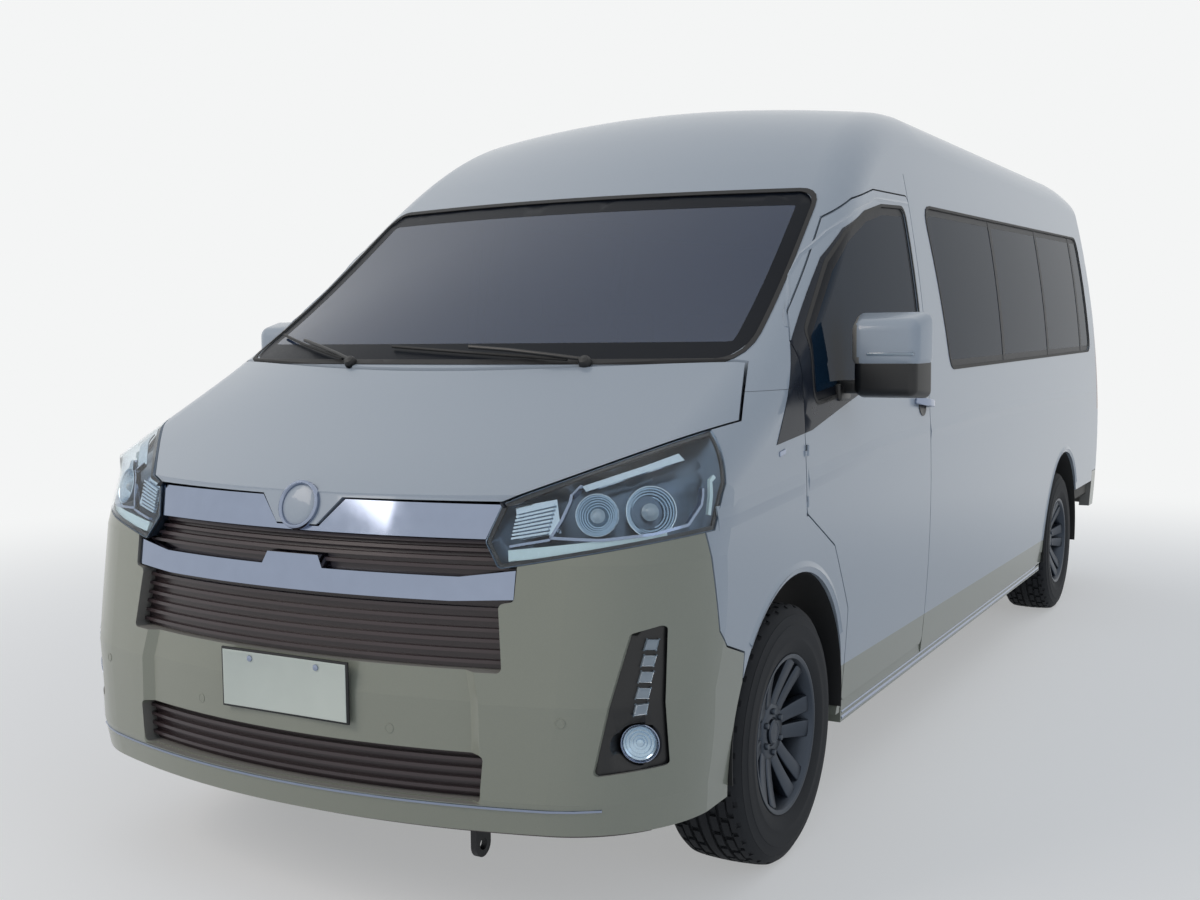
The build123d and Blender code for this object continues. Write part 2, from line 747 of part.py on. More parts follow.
# Fog lamps, each with the tall bezel round it
bezel_layer = without(nose_form(FOG_BEZEL_INSET), nose_form(FOG_BEZEL_INSET + FOG_BEZEL_DEPTH))
bezel = common(bezel_layer, front_tool(FOG_BEZEL, 10, -SEAT_GAP, far=-2500))


def fog_disc(radius, near, far):
    """A disc ahead of the fog lamp, facing forward"""
    with BuildPart() as disc:
        with BuildSketch(Plane.XZ.offset(-near)):
            with Locations(FOG_LAMP):
                Circle(radius)
        extrude(amount=near - far)
    return disc.part


bezel = without(bezel, fog_disc(FOG_LAMP_RADIUS + 5, -3000, -2712))
bezel = joined(bezel, fog_disc(FOG_LAMP_RADIUS, -2748, -2700))
save(both_sides(bezel), "fog_lamps")

# Doors
door = without(common(shell, door_tool), door_glass_hole, arch_tool)
for level in DOOR_HINGE_LEVELS:
    door = joined(without(door, wing_hinge(level, RUN_GAP + 0.7)), door_hinge(level))
door_glass = common(glass_layer, side_tool(DOOR_GLASS, 40, -GLASS_GAP, DOOR_NEAR_X))
left_glass = common(common(glass_layer, side_tool(SIDE_WINDOW, 70, -GLASS_GAP)), left_half)
slide_glass = common(common(glass_layer, side_tool(SLIDE_WINDOW, 60, -GLASS_GAP)), left_half)
right_glass = common(common(glass_layer, side_tool(RIGHT_WINDOW, 60, -GLASS_GAP)), left_half)
with BuildPart() as side_glass:
    add(left_glass)
    add(mirror_image(slide_glass))
    add(mirror_image(right_glass))
save(side_glass.part, "side_glass")
windscreen = common(glass_layer, front_tool(WINDSCREEN, WINDSCREEN_RADIUS, -GLASS_GAP, far=-1200))
save(windscreen, "windscreen")
lamps = without(common(shell, lamps_tool), bonnet_hole)
save(lamps, "headlamps")

# Tail: door with its window, bumper and corner lamps
tailgate = without(common(shell, tailgate_tool), tail_window_hole)
for side in (1, -1):
    start = side * TAIL_HINGE_X
    roof_end = side * (TAIL_HINGE_X + HINGE_HALF)
    gate_end = side * (TAIL_HINGE_X - HINGE_HALF)
    notch = level_barrel(TAIL_AXIS_Y, TAIL_AXIS_Z, TAIL_BARREL_RADIUS + 1, start, roof_end + side)
    barrel = level_barrel(TAIL_AXIS_Y, TAIL_AXIS_Z, TAIL_BARREL_RADIUS, start - side * RUN_GAP, gate_end)
    tailgate = joined(without(tailgate, notch), barrel)
tail_glass = common(glass_layer, tail_window_glass)
rear_bumper = common(shell, rear_bumper_tool)
tail_lamps = common(shell, tail_lamp_tool)
for piece, name in [
    (bonnet, "bonnet"), (tailgate, "tailgate"), (tail_glass, "tailgate_glass"),
    (rear_bumper, "rear_bumper"), (tail_lamps, "tail_lamps"), (door, "front_door_left"),
    (door_glass, "door_glass_left"),
]:
    save(piece, name)
for piece, name in ((door, "front_door_right"), (door_glass, "door_glass_right")):
    save(mirror_image(piece), name)


def disc_tool(y, z, radius, near, far):
    """A disc across the body, from near to far"""
    with BuildPart() as disc:
        with BuildSketch(Plane.YZ.offset(min(near, far))):
            with Locations((y, z)):
                Circle(radius)
        extrude(amount=abs(far - near))
    return disc.part


def wheel_tub(y, radius, inner_x):
    """The left half-round tub over a wheel, standing on the floor"""
    with BuildPart() as tub:
        with BuildSketch(Plane.YZ.offset(inner_x)):
            with Locations((y, ARCH_CENTRE_Z)):
                Circle(radius + TUB_WALL)
            with Locations((y, FLOOR_Z - 500)):
                Rectangle(3000, 1000, mode=Mode.SUBTRACT)
        extrude(amount=FLOOR_HALF - inner_x)
        add(disc_tool(y, ARCH_CENTRE_Z, radius, inner_x + TUB_WALL, FLOOR_HALF + 50), mode=Mode.SUBTRACT)
    return tub.part


# Floor, with the wheel tubs on it and the frame rails below it
rear_tub = wheel_tub(REAR_AXLE_Y, REAR_ARCH_RADIUS, REAR_TUB_X)
front_tub = wheel_tub(FRONT_AXLE_Y, ARCH_RADIUS, FRONT_TUB_X)
with BuildPart() as floor_pan:
    add(box_between((-FLOOR_HALF, FLOOR_FRONT_Y, FLOOR_Z), (FLOOR_HALF, FLOOR_REAR_Y, FLOOR_Z + FLOOR_THICKNESS)))
    for side in (1, -1):
        for y, radius, inner_x in (
            (REAR_AXLE_Y, REAR_ARCH_RADIUS, REAR_TUB_X),
            (FRONT_AXLE_Y, ARCH_RADIUS, FRONT_TUB_X),
        ):
            wheel_space = disc_tool(y, ARCH_CENTRE_Z, radius + TUB_WALL, side * inner_x, side * 1200)
            add(wheel_space, mode=Mode.SUBTRACT)
        rail_low = (side * RAIL_X - RAIL_WIDTH / 2, RAIL_FRONT_Y, FLOOR_Z - RAIL_HEIGHT)
        rail_high = (side * RAIL_X + RAIL_WIDTH / 2, FLOOR_REAR_Y, FLOOR_Z)
        add(box_between(rail_low, rail_high))
    add(rear_tub)
    add(mirror_image(rear_tub))
save(floor_pan.part, "floor_pan")

# Bulkhead between engine bay and cab, with the inner wings and the cowl shelf
with BuildPart() as bulkhead:
    add(box_between((-FLOOR_HALF, FLOOR_FRONT_Y - 15, FLOOR_Z), (FLOOR_HALF, FLOOR_FRONT_Y, COWL_Z)))
    add(box_between((-COWL_HALF, COWL_FRONT_Y, COWL_Z), (COWL_HALF, FLOOR_FRONT_Y, COWL_Z + 15)))
    for side in (1, -1):
        near = side * FRONT_TUB_X
        far = side * (FRONT_TUB_X + TUB_WALL)
        low = (min(near, far), -2450, FLOOR_Z)
        high = (max(near, far), FLOOR_FRONT_Y, 860)
        add(box_between(low, high))
        add(disc_tool(FRONT_AXLE_Y, ARCH_CENTRE_Z, ARCH_RADIUS, side * FRONT_TUB_X, side * 1200), mode=Mode.SUBTRACT)
        add(front_tub if side > 0 else mirror_image(front_tub))
    bracket_near, bracket_far = BONNET_BRACKET_X
    bracket = joined(
        box_between((bracket_near, BONNET_AXIS_Y - 11, COWL_Z), (bracket_far, BONNET_AXIS_Y + 11, BONNET_AXIS_Z)),
        level_barrel(BONNET_AXIS_Y, BONNET_AXIS_Z, BONNET_BARREL_RADIUS, bracket_near, bracket_far),
    )
    add(both_sides(bracket))
save(bulkhead.part, "bulkhead")

# Front axle: cross member, lower arms and struts
with BuildPart() as subframe:
    add(box_between((-RAIL_X - 35, FRONT_AXLE_Y - 90, 240), (RAIL_X + 35, FRONT_AXLE_Y + 90, 295)))
    for side in (1, -1):
        with BuildSketch(Plane.XY.offset(ARM_Z)):
            Polygon(
                (side * (RAIL_X - 20), FRONT_AXLE_Y - 150),
                (side * (KINGPIN_X - 110), FRONT_AXLE_Y - 42),
                (side * (KINGPIN_X + 25), FRONT_AXLE_Y - 30),
                (side * (KINGPIN_X + 25), FRONT_AXLE_Y + 30),
                (side * (KINGPIN_X - 110), FRONT_AXLE_Y + 42),
                (side * (RAIL_X - 20), FRONT_AXLE_Y + 150),
                align=None,
            )
        extrude(amount=ARM_THICKNESS)
        tower_low = (side * RAIL_X - 30, FRONT_AXLE_Y - 60, 240)
        add(box_between(tower_low, (side * RAIL_X + 30, FRONT_AXLE_Y + 60, FLOOR_Z - RAIL_HEIGHT)))
save(subframe.part, "front_subframe")

# Engine and gearbox
with BuildPart() as engine:
    add(box_between((-230, -2440, 420), (230, FLOOR_FRONT_Y - 40, 960)))
    fillet(engine.edges().filter_by(Axis.Z), 40)
    for side in (1, -1):
        add(box_between((side * 180 - 30, FRONT_AXLE_Y - 40, 295), (side * 180 + 30, FRONT_AXLE_Y + 40, 430)))
    with BuildSketch(Plane.XZ.offset(-(FLOOR_FRONT_Y - 40))):
        with Locations((0, GEARBOX_Z)):
            Circle(85)
    extrude(amount=-700)
save(engine.part, "engine_block")

# Rear axle: tube, differential and leaf springs
with BuildPart() as rear_axle:
    add(bar_across(REAR_AXLE_Y, HUB_Z, 42, TRACK_HALF - 130))
    with BuildSketch(Plane.XZ.offset(-REAR_AXLE_Y + 160)):
        with Locations((0, HUB_Z)):
            Circle(60)
    extrude(amount=-220)
    add(bar_across(REAR_AXLE_Y, HUB_Z, 130, 80))
    for side in (1, -1):
        with BuildSketch(Plane.YZ.offset(side * SPRING_X - 30)):
            with BuildLine():
                ThreePointArc((SPRING_FRONT_Y, SPRING_END_Z), (REAR_AXLE_Y, SPRING_LOW_Z), (SPRING_REAR_Y, SPRING_END_Z))
                Line((SPRING_REAR_Y, SPRING_END_Z), (SPRING_REAR_Y, SPRING_END_Z + 16))
                ThreePointArc(
                    (SPRING_REAR_Y, SPRING_END_Z + 16), (REAR_AXLE_Y, SPRING_LOW_Z + 30), (SPRING_FRONT_Y, SPRING_END_Z + 16)
                )
                Line((SPRING_FRONT_Y, SPRING_END_Z + 16), (SPRING_FRONT_Y, SPRING_END_Z))
            make_face()
        extrude(amount=60)
        for y in (SPRING_FRONT_Y, SPRING_REAR_Y):
            inward = 25 if y < REAR_AXLE_Y else -25
            add(box_between(
                (side * SPRING_X - 30, min(y, y + inward), SPRING_END_Z - 2),
                (side * SPRING_X + 30, max(y, y + inward), FLOOR_Z - RAIL_HEIGHT),
            ))
        add(box_between((side * SPRING_X - 35, REAR_AXLE_Y - 60, SPRING_LOW_Z), (side * SPRING_X + 35, REAR_AXLE_Y + 60, HUB_Z)))
        add(disc_tool(REAR_AXLE_Y, HUB_Z, 150, side * (TRACK_HALF - 60), side * (TRACK_HALF + HUB_FACE_X)))
        add(disc_tool(REAR_AXLE_Y, HUB_Z, 42, side * (TRACK_HALF - 150), side * (TRACK_HALF - 60)))
save(rear_axle.part, "rear_axle")

# Propeller shaft, fuel tank, exhaust and spare wheel
with BuildPart() as shaft:
    with BuildSketch(Plane.XZ.offset(1240)):
        with Locations((0, GEARBOX_Z)):
            Circle(38)
    with BuildSketch(Plane.XZ.offset(-(REAR_AXLE_Y - 160))):
        with Locations((0, HUB_Z)):
            Circle(38)
    loft()
save(shaft.part, "propeller_shaft")

with BuildPart() as fuel_tank:
    add(box_between((500, -450, 275), (850, 650, FLOOR_Z)))
    fillet(fuel_tank.edges().filter_by(Axis.Y), 40)
save(fuel_tank.part, "fuel_tank")

with BuildPart() as exhaust:
    with BuildSketch(Plane.XZ.offset(1200)):
        with Locations((-300, 380)):
            Circle(28)
    extrude(amount=-2700)
    with BuildSketch(Plane.XZ.offset(100)):
        with Locations((-300, 380)):
            Ellipse(95, 70)
    extrude(amount=-700)
    for y in (-900, 250, 1400):
        add(box_between((-310, y - 15, 380), (-290, y + 15, FLOOR_Z)))
save(exhaust.part, "exhaust")

with BuildPart() as spare_wheel:
    with BuildSketch(Plane.XZ):
        with Locations((TYRE_RADIUS - 70, SPARE_Z)):
            Polygon((-70, -60), (-30, -100), (35, -100), (70, -70), (70, 70), (35, 100), (-30, 100), (-70, 60))
        with Locations((RIM_RADIUS / 2 + 10, SPARE_Z + 30)):
            Rectangle(RIM_RADIUS + 20, 40)
    revolve(axis=Axis.Z)
    with BuildSketch(Plane.XY.offset(SPARE_Z + 45)):
        Circle(20)
    extrude(amount=FLOOR_Z - SPARE_Z - 45)
save(spare_wheel.part.moved(Location((0, SPARE_Y, 0))), "spare_wheel")

# Sill covers below the doors and sides
sill_low_x = side_x(SILL_LOW_Z) - 70
with BuildPart() as sills:
    add(box_between((sill_low_x, -1540, SILL_LOW_Z), (side_x(SILL_LOW_Z), 1420, SILL_Z)))
    add(box_between((sill_low_x, -1540, SILL_Z), (side_x(SILL_Z) - 3, DOOR_REAR_Y, DOOR_SILL_Z - PANEL_GAP)))
    add(box_between((sill_low_x, -1540, SILL_Z), (sill_low_x + 12, 1420, FLOOR_Z)))
save(both_sides(sills.part), "sill_covers")

# Tow eyes on the frame rails, one at each end
def tow_eye(y, top, hole_z):
    """A plate with an eye, hanging from the left frame rail"""
    with BuildPart() as eye:
        with BuildSketch(Plane.YZ.offset(RAIL_X - TOW_PLATE / 2)):
            with Locations((y, hole_z)):
                Circle(TOW_EYE_RADIUS + 17)
            with Locations((y, (top + hole_z) / 2)):
                Rectangle(2 * TOW_EYE_RADIUS + 34, top - hole_z)
            with Locations((y, hole_z)):
                Circle(TOW_EYE_RADIUS, mode=Mode.SUBTRACT)
        extrude(amount=TOW_PLATE)
    return eye.part


save(tow_eye(FRONT_TOW_Y, FLOOR_Z - RAIL_HEIGHT, FRONT_TOW_Z), "front_tow_eye")
save(tow_eye(REAR_TOW_Y, FLOOR_Z - RAIL_HEIGHT, REAR_TOW_Z), "rear_tow_eye")


# Wheels
def tyre_at(side, y):
    """A tyre, as a ring round the wheel's axis"""
    with BuildPart() as tyre:
        with BuildSketch(Plane.XY):
            Polygon(
                *[
                    (x * side_sign, radius)
                    for side_sign, profile in ((1, TYRE_PROFILE), (-1, list(reversed(TYRE_PROFILE))))
                    for x, radius in profile
                ],
                align=None,
            )
        revolve(axis=Axis.X)
    return tyre.part.moved(Location((side * TRACK_HALF, y, HUB_Z)))


def rim_at(side, y):
    """An alloy wheel: a barrel, a hub and pairs of spokes"""
    half = TYRE_WIDTH / 2
    seat = RIM_RADIUS - RIM_SEAT_GAP
    with BuildPart() as rim:
        with BuildSketch(Plane.XY):
            Polygon(
                (-half + 22, seat), (-half + 22, seat - 14), (-60, seat - 30), (half - 40, seat - 22),
                (half - 22, seat - 16), (half - 22, seat), align=None,
            )
        revolve(axis=Axis.X)
        with BuildSketch(Plane.YZ.offset(SPOKE_BACK_X)):
            Circle(HUB_RADIUS)
            with PolarLocations(0, SPOKE_PAIRS, start_angle=90):
                for lean in (-1, 1):
                    with Locations(Location((0, 0, 0), lean * SPOKE_SPREAD)):
                        with Locations(((HUB_RADIUS + seat) / 2 - 10, lean * SPOKE_OFFSET)):
                            Rectangle(seat - HUB_RADIUS + 10, SPOKE_WIDTH)
        extrude(amount=SPOKE_DEPTH)
        with BuildSketch(Plane.YZ.offset(HUB_FACE_X + 0.3)):
            Circle(HUB_RADIUS)
        extrude(amount=SPOKE_BACK_X - HUB_FACE_X)
        with BuildSketch(Plane.YZ.offset(SPOKE_BACK_X + SPOKE_DEPTH)):
            Circle(32)
        extrude(amount=10)
    placed = rim.part if side > 0 else mirror_image(rim.part)
    return placed.moved(Location((side * TRACK_HALF, y, HUB_Z)))


for side, side_name in ((1, "left"), (-1, "right")):
    for y, axle_name in ((FRONT_AXLE_Y, "front"), (REAR_AXLE_Y, "rear")):
        save(tyre_at(side, y), f"tyre_{axle_name}_{side_name}")
        save(rim_at(side, y), f"rim_{axle_name}_{side_name}")

# Steering knuckles, each with its brake disc and upright
with BuildPart() as knuckle:
    add(disc_tool(FRONT_AXLE_Y, HUB_Z, 150, KINGPIN_X + 42, KINGPIN_X + 60))
    add(disc_tool(FRONT_AXLE_Y, HUB_Z, 60, KINGPIN_X, TRACK_HALF + HUB_FACE_X))
    with BuildSketch(Plane.XY.offset(ARM_Z + ARM_THICKNESS + RUN_GAP)):
        with Locations((KINGPIN_X, FRONT_AXLE_Y)):
            Circle(28)
    extrude(amount=HUB_Z + 120 - ARM_Z - ARM_THICKNESS)
save(knuckle.part, "knuckle_left")
save(mirror_image(knuckle.part), "knuckle_right")

# Cab: dashboard, steering wheel and seats
with BuildPart() as dashboard:
    with BuildSketch(Plane.YZ.offset(-FLOOR_HALF + 20)):
        Polygon(
            (FLOOR_FRONT_Y, 860), (FLOOR_FRONT_Y, 1190), (-1800, 1200), (-1640, 1130), (-1610, 1040), (-1720, 860),
            align=None,
        )
    extrude(amount=2 * FLOOR_HALF - 40)
    fillet(dashboard.edges().filter_by(Axis.X).sort_by(Axis.Y)[-3:], 25)
    with BuildSketch(steering_plane.offset(-COLUMN_REACH)):
        Circle(30)
    extrude(amount=-90)
save(dashboard.part, "dashboard")

with BuildPart() as steering_wheel:
    with BuildSketch(Plane.XZ):
        with Locations((STEERING_RADIUS, 0)):
            RegularPolygon(15, 8)
    revolve(axis=Axis.Z)
    with BuildSketch(Plane.XY.offset(-12)):
        Circle(75)
        with PolarLocations(0, 3, start_angle=-90):
            with Locations((STEERING_RADIUS / 2, 0)):
                Rectangle(STEERING_RADIUS, 36)
    extrude(amount=20)
    with BuildSketch(Plane.XY.offset(-12)):
        Circle(24)
    extrude(amount=12.3 - COLUMN_REACH)
save(steering_wheel.part.moved(steering_plane.location), "steering_wheel")


def seat(x, y, width, back_height):
    """One seat: a base, a cushion and a leaning back, all with rounded edges"""
    with BuildPart() as chair:
        with BuildSketch(Plane.YZ.offset(x - width / 2)):
            Polygon(
                (y, CUSHION_Z - 110), (y + 480, CUSHION_Z - 120), (y + 500, CUSHION_Z), (y + 620, back_height),
                (y + 530, back_height + 10), (y + 390, CUSHION_Z + 20), (y, CUSHION_Z + 15), align=None,
            )
        extrude(amount=width)
        fillet(chair.edges().filter_by(Axis.X), 22)
        base_near = max(x - width / 2 + 60, -BASE_LIMIT_X)
        base_far = min(x + width / 2 - 60, BASE_LIMIT_X)
        add(box_between((base_near, y + 60, FLOOR_TOP), (base_far, y + 420, CUSHION_Z - 115)))
        add(box_between((x - 115, y + 555, back_height - 30), (x + 115, y + 635, back_height + 140)))
    return chair.part


with BuildPart() as front_seats:
    for x, width in ((430, 520), (-470, 500)):
        add(seat(x, FRONT_SEAT_Y, width, 1490))
save(front_seats.part, "front_seats")

with BuildPart() as passenger_seats:
    for y, columns in SEAT_ROWS:
        for x in columns:
            add(seat(x, y, SEAT_WIDTH, 1400))
save(passenger_seats.part, "passenger_seats")


# Door mirrors
with BuildPart() as mirror_left:
    with BuildSketch(Plane.XZ.offset(1560)):
        with Locations(((MIRROR_NEAR_X + MIRROR_FAR_X) / 2, (MIRROR_LOW_Z + MIRROR_HIGH_Z) / 2)):
            RectangleRounded(MIRROR_FAR_X - MIRROR_NEAR_X, MIRROR_HIGH_Z - MIRROR_LOW_Z, 60)
    extrude(amount=130, taper=8)
    fillet(mirror_left.edges().group_by(Axis.Y)[0], 24)
    add(box_between((side_x(1290) - 12, -1640, 1262), (MIRROR_NEAR_X + 40, -1580, 1300)))
mirror_piece = without(mirror_left.part, outer)
save(mirror_piece, "mirror_left")
save(mirror_image(mirror_piece), "mirror_right")
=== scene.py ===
# %% [markdown]
# # A long, high-roof minibus
# The rigid frame of this minibus comes from a CAD model that is already whole:
# panels, glass, axles and doors, each on the body that it moves with. This
# lesson dresses that frame. It gives every panel its paint, glass or plastic,
# and adds the detail that a CAD model leaves out, such as tread, lamp bowls,
# window seals and seat cushions. Every length here is in metres, with Z up,
# the ground at z = 0, and the bus facing -Y.

# %% Load the frame
import math

import bmesh
import bpy
from mathutils import Matrix, Vector
from mathutils.bvhtree import BVHTree


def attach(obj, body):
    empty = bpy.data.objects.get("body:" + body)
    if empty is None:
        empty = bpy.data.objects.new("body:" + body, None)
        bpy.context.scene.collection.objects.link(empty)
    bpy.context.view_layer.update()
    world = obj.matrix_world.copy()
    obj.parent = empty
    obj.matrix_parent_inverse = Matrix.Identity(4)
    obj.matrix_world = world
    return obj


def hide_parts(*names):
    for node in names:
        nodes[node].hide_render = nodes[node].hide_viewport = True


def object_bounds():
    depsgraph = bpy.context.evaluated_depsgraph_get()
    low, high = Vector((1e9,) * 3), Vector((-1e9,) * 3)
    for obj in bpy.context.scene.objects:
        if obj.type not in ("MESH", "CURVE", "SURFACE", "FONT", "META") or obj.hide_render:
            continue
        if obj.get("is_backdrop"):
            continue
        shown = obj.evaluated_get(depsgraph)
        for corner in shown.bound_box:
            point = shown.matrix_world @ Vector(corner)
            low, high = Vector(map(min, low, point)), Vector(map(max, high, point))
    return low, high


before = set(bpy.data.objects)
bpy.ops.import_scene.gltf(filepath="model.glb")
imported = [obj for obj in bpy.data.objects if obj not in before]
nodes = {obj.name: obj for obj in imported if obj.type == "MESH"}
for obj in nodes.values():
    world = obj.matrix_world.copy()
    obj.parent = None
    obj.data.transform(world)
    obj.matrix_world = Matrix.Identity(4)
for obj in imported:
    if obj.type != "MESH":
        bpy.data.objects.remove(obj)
cad_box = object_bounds()
print("CAD nodes:", len(nodes))

# %% [markdown]
# The camera stands where the photographer stood: at eye height, ahead of the
# bus and to its left. Its place and turn were worked out from the wheels, the
# wheelbase and the straight edges of the body, so the render frames the bus as
# the photograph does.

# %% Camera
EYE = Vector((2.27005, -5.44909, 1.44289))
YAW = -0.5034
PITCH = -0.0849
ROLL = -0.0102
FOCAL_PIXELS = 1372.245
PHOTO_WIDTH = 1200


def new_object(name, data):
    """Put a new object into the scene and return it"""
    made = bpy.data.objects.new(name, data)
    bpy.context.scene.collection.objects.link(made)
    return made


ahead = Vector(
    (math.sin(YAW) * math.cos(PITCH), math.cos(YAW) * math.cos(PITCH), math.sin(PITCH))
)
level_right = ahead.cross(Vector((0, 0, 1))).normalized()
level_up = level_right.cross(ahead)
right = level_right * math.cos(ROLL) + level_up * math.sin(ROLL)
up = level_up * math.cos(ROLL) - level_right * math.sin(ROLL)

camera_data = bpy.data.cameras.new("camera")
camera_data.sensor_fit = "HORIZONTAL"
camera_data.sensor_width = 36
camera_data.lens = 36 * FOCAL_PIXELS / PHOTO_WIDTH
camera_data.clip_end = 200
camera = new_object("camera", camera_data)
turn = Matrix((right, up, -ahead)).transposed()
camera.matrix_world = Matrix.Translation(EYE) @ turn.to_4x4()
bpy.context.scene.camera = camera
bpy.context.scene.view_settings.view_transform = "Standard"

# %% [markdown]
# Colours are written as sRGB hex codes, as a paint chart gives them, and one
# function turns them into the linear values that the shaders use. A second
# small function adds a shader node. Each of its inputs is a plain value or
# another node's output, so each finish reads as a short list of what goes
# into what.


# %% Helpers for colour and nodes
def colour(code):
    """Linear RGBA from an sRGB hex code"""
    values = [int(code[place : place + 2], 16) / 255 for place in (1, 3, 5)]
    linear = [
        value / 12.92 if value <= 0.04045 else ((value + 0.055) / 1.055) ** 2.4
        for value in values
    ]
    return (*linear, 1)


def node(tree, kind, inputs=None, **settings):
    """Add a shader node, set or link its inputs, and return its outputs"""
    made = tree.nodes.new("ShaderNode" + kind)
    for name, value in settings.items():
        setattr(made, name, value)
    for name, value in (inputs or {}).items():
        if isinstance(value, bpy.types.NodeSocket):
            tree.links.new(value, made.inputs[name])
        else:
            made.inputs[name].default_value = value
    return made.outputs


def finish_named(name, base, **values):
    """A new material, its node tree and its shader, with plain values set"""
    material = bpy.data.materials.new(name)
    material.use_nodes = True
    tree = material.node_tree
    shader = tree.nodes["Principled BSDF"]
    shader.inputs["Base Color"].default_value = colour(base)
    for key, value in values.items():
        shader.inputs[key.replace("_", " ")].default_value = value
    return material, tree, shader


# %% [markdown]
# The studio is plain: a pale floor, an even pale surround and three soft
# lamps. The background's white is added for camera, mirror and glass rays
# alone, so that it never puts more light on the bus itself.

# %% Floor, surround and lamps
FLOOR_SIZE = 60
BACKDROP = "#f4f5f5"
FADE_START = 2.4
FADE_END = 7.5
FADE_LEAST = 0.4


def seen_directly(tree):
    """1 on camera, mirror and glass rays, 0 on rays that only carry light"""
    ray = node(tree, "LightPath")
    either = node(
        tree, "Math", {0: ray["Is Camera Ray"], 1: ray["Is Glossy Ray"]}, operation="MAXIMUM"
    )[0]
    return node(
        tree, "Math", {0: either, 1: ray["Is Transmission Ray"]}, operation="MAXIMUM"
    )[0]


floor_mesh = bmesh.new()
bmesh.ops.create_grid(floor_mesh, x_segments=1, y_segments=1, size=FLOOR_SIZE / 2)
floor_data = bpy.data.meshes.new("floor")
floor_mesh.to_mesh(floor_data)
floor_mesh.free()
floor = new_object("floor", floor_data)
floor_finish, floor_tree, floor_shader = finish_named(
    "matt_paper_floor", "#f6f6f7", Roughness=0.9, Specular_IOR_Level=0.1
)
spot = node(floor_tree, "TexCoord")["Object"]
far = node(floor_tree, "VectorMath", {0: spot}, operation="LENGTH")["Value"]
fade = node(
    floor_tree, "MapRange",
    {"Value": far, "From Min": FADE_START, "From Max": FADE_END, 3: FADE_LEAST},
    interpolation_type="SMOOTHSTEP",
)[0]
share = node(
    floor_tree, "Math", {0: fade, 1: seen_directly(floor_tree)}, operation="MULTIPLY"
)[0]
pale = node(floor_tree, "Emission", {"Color": colour(BACKDROP), "Strength": 1.0})[0]
floor_mix = node(floor_tree, "MixShader", {0: share, 1: floor_shader.outputs[0], 2: pale})[0]
floor_tree.links.new(floor_mix, floor_tree.nodes["Material Output"].inputs["Surface"])
floor_data.materials.append(floor_finish)
floor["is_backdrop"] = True

world = bpy.data.worlds.new("surround")
bpy.context.scene.world = world
world.use_nodes = True
sky = world.node_tree
sky.nodes.clear()
lighting = node(sky, "Background", {"Color": colour("#dde7f2"), "Strength": 0.45})[0]
backdrop = node(sky, "Background", {"Color": colour(BACKDROP), "Strength": 1.0})[0]
mixed = node(sky, "MixShader", {0: seen_directly(sky), 1: lighting, 2: backdrop})[0]
node(sky, "OutputWorld", {"Surface": mixed})


def soft_lamp(name, place, target, size, power, tint, mirrored):
    """A square area lamp that looks at a point, and whether gloss mirrors it"""
    data = bpy.data.lights.new(name, "AREA")
    data.shape = "SQUARE"
    data.size = size
    data.energy = power
    data.color = colour(tint)[:3]
    lamp = new_object(name, data)
    lamp.visible_glossy = mirrored
    aim = (Vector(target) - Vector(place)).to_track_quat("-Z", "Y")
    lamp.matrix_world = Matrix.Translation(place) @ aim.to_matrix().to_4x4()


soft_lamp("key_lamp", (-5.5, -9.0, 7.5), (0, -1, 1), 5, 330, "#fff5ec", True)
soft_lamp("fill_lamp", (9.0, -4.5, 5.0), (0, 0, 1), 5, 40, "#dce9ff", False)
soft_lamp("back_lamp", (3.0, 9.5, 7.0), (0, 1, 1), 5, 130, "#ffffff", False)

# %% [markdown]
# The body is sprayed in two tones: a pearl white above and a champagne below,
# both under clear lacquer. The pearl is written darker and bluer than pearl
# white, as painted evening shade over the whole upper body. Pearl paint holds
# mica flakes, far too fine to see one by one here, so they are drawn a little
# larger, as faint patches that change the tone. The same panels carry a light
# grey lining on their inner side, so the finish looks at which way a face
# points: towards the middle of the cabin it is lining, and outwards it is paint.

# %% Painted panels with an inner lining
# The upper tone is pearl white painted darker and bluer, as painted evening shade.
PEARL_WITH_PAINTED_SHADE = "#abb6c2"
CHAMPAGNE = "#94978a"
LINING = "#8d8b86"
TWO_TONE_Z = 0.4296
TWO_TONE_FALL = -0.0126
FLAKE_SIZE = 0.004
PAINT_ROUGHNESS = 0.32
LINING_ROUGHNESS = 0.8
LACQUER = 0.5
CABIN_MIDDLE_Z = 1.25
CABIN_HALF_LENGTH = 1.9
INWARD_LIMIT = -0.35


def noise(tree, scale, detail):
    """Patches of noise, laid out in the object's own space"""
    place = node(tree, "TexCoord")["Object"]
    return node(tree, "TexNoise", {"Scale": scale, "Detail": detail, "Vector": place})["Fac"]


def ranged(tree, source, low, high):
    """A share from 0 to 1 turned into a value from low to high"""
    return node(tree, "MapRange", {"Value": source, 3: low, 4: high})[0]


def scaled(tree, tone, share):
    """A tone made lighter or darker by a share"""
    return node(tree, "VectorMath", {0: tone, "Scale": share}, operation="SCALE")[0]


def inward_share(tree):
    """1 on faces that look towards the cabin's middle line, 0 elsewhere"""
    place = node(tree, "TexCoord")["Object"]
    along = node(tree, "Clamp", {
        "Value": node(tree, "SeparateXYZ", {0: place})["Y"],
        "Min": -CABIN_HALF_LENGTH, "Max": CABIN_HALF_LENGTH,
    })[0]
    middle = node(tree, "CombineXYZ", {"Y": along, "Z": CABIN_MIDDLE_Z})[0]
    outward = node(tree, "VectorMath", {0: place, 1: middle}, operation="SUBTRACT")[0]
    outward = node(tree, "VectorMath", {0: outward}, operation="NORMALIZE")[0]
    normal = node(tree, "NewGeometry")["True Normal"]
    facing = node(
        tree, "VectorMath", {0: outward, 1: normal}, operation="DOT_PRODUCT"
    )["Value"]
    return node(tree, "Math", {0: facing, 1: INWARD_LIMIT}, operation="LESS_THAN")[0]


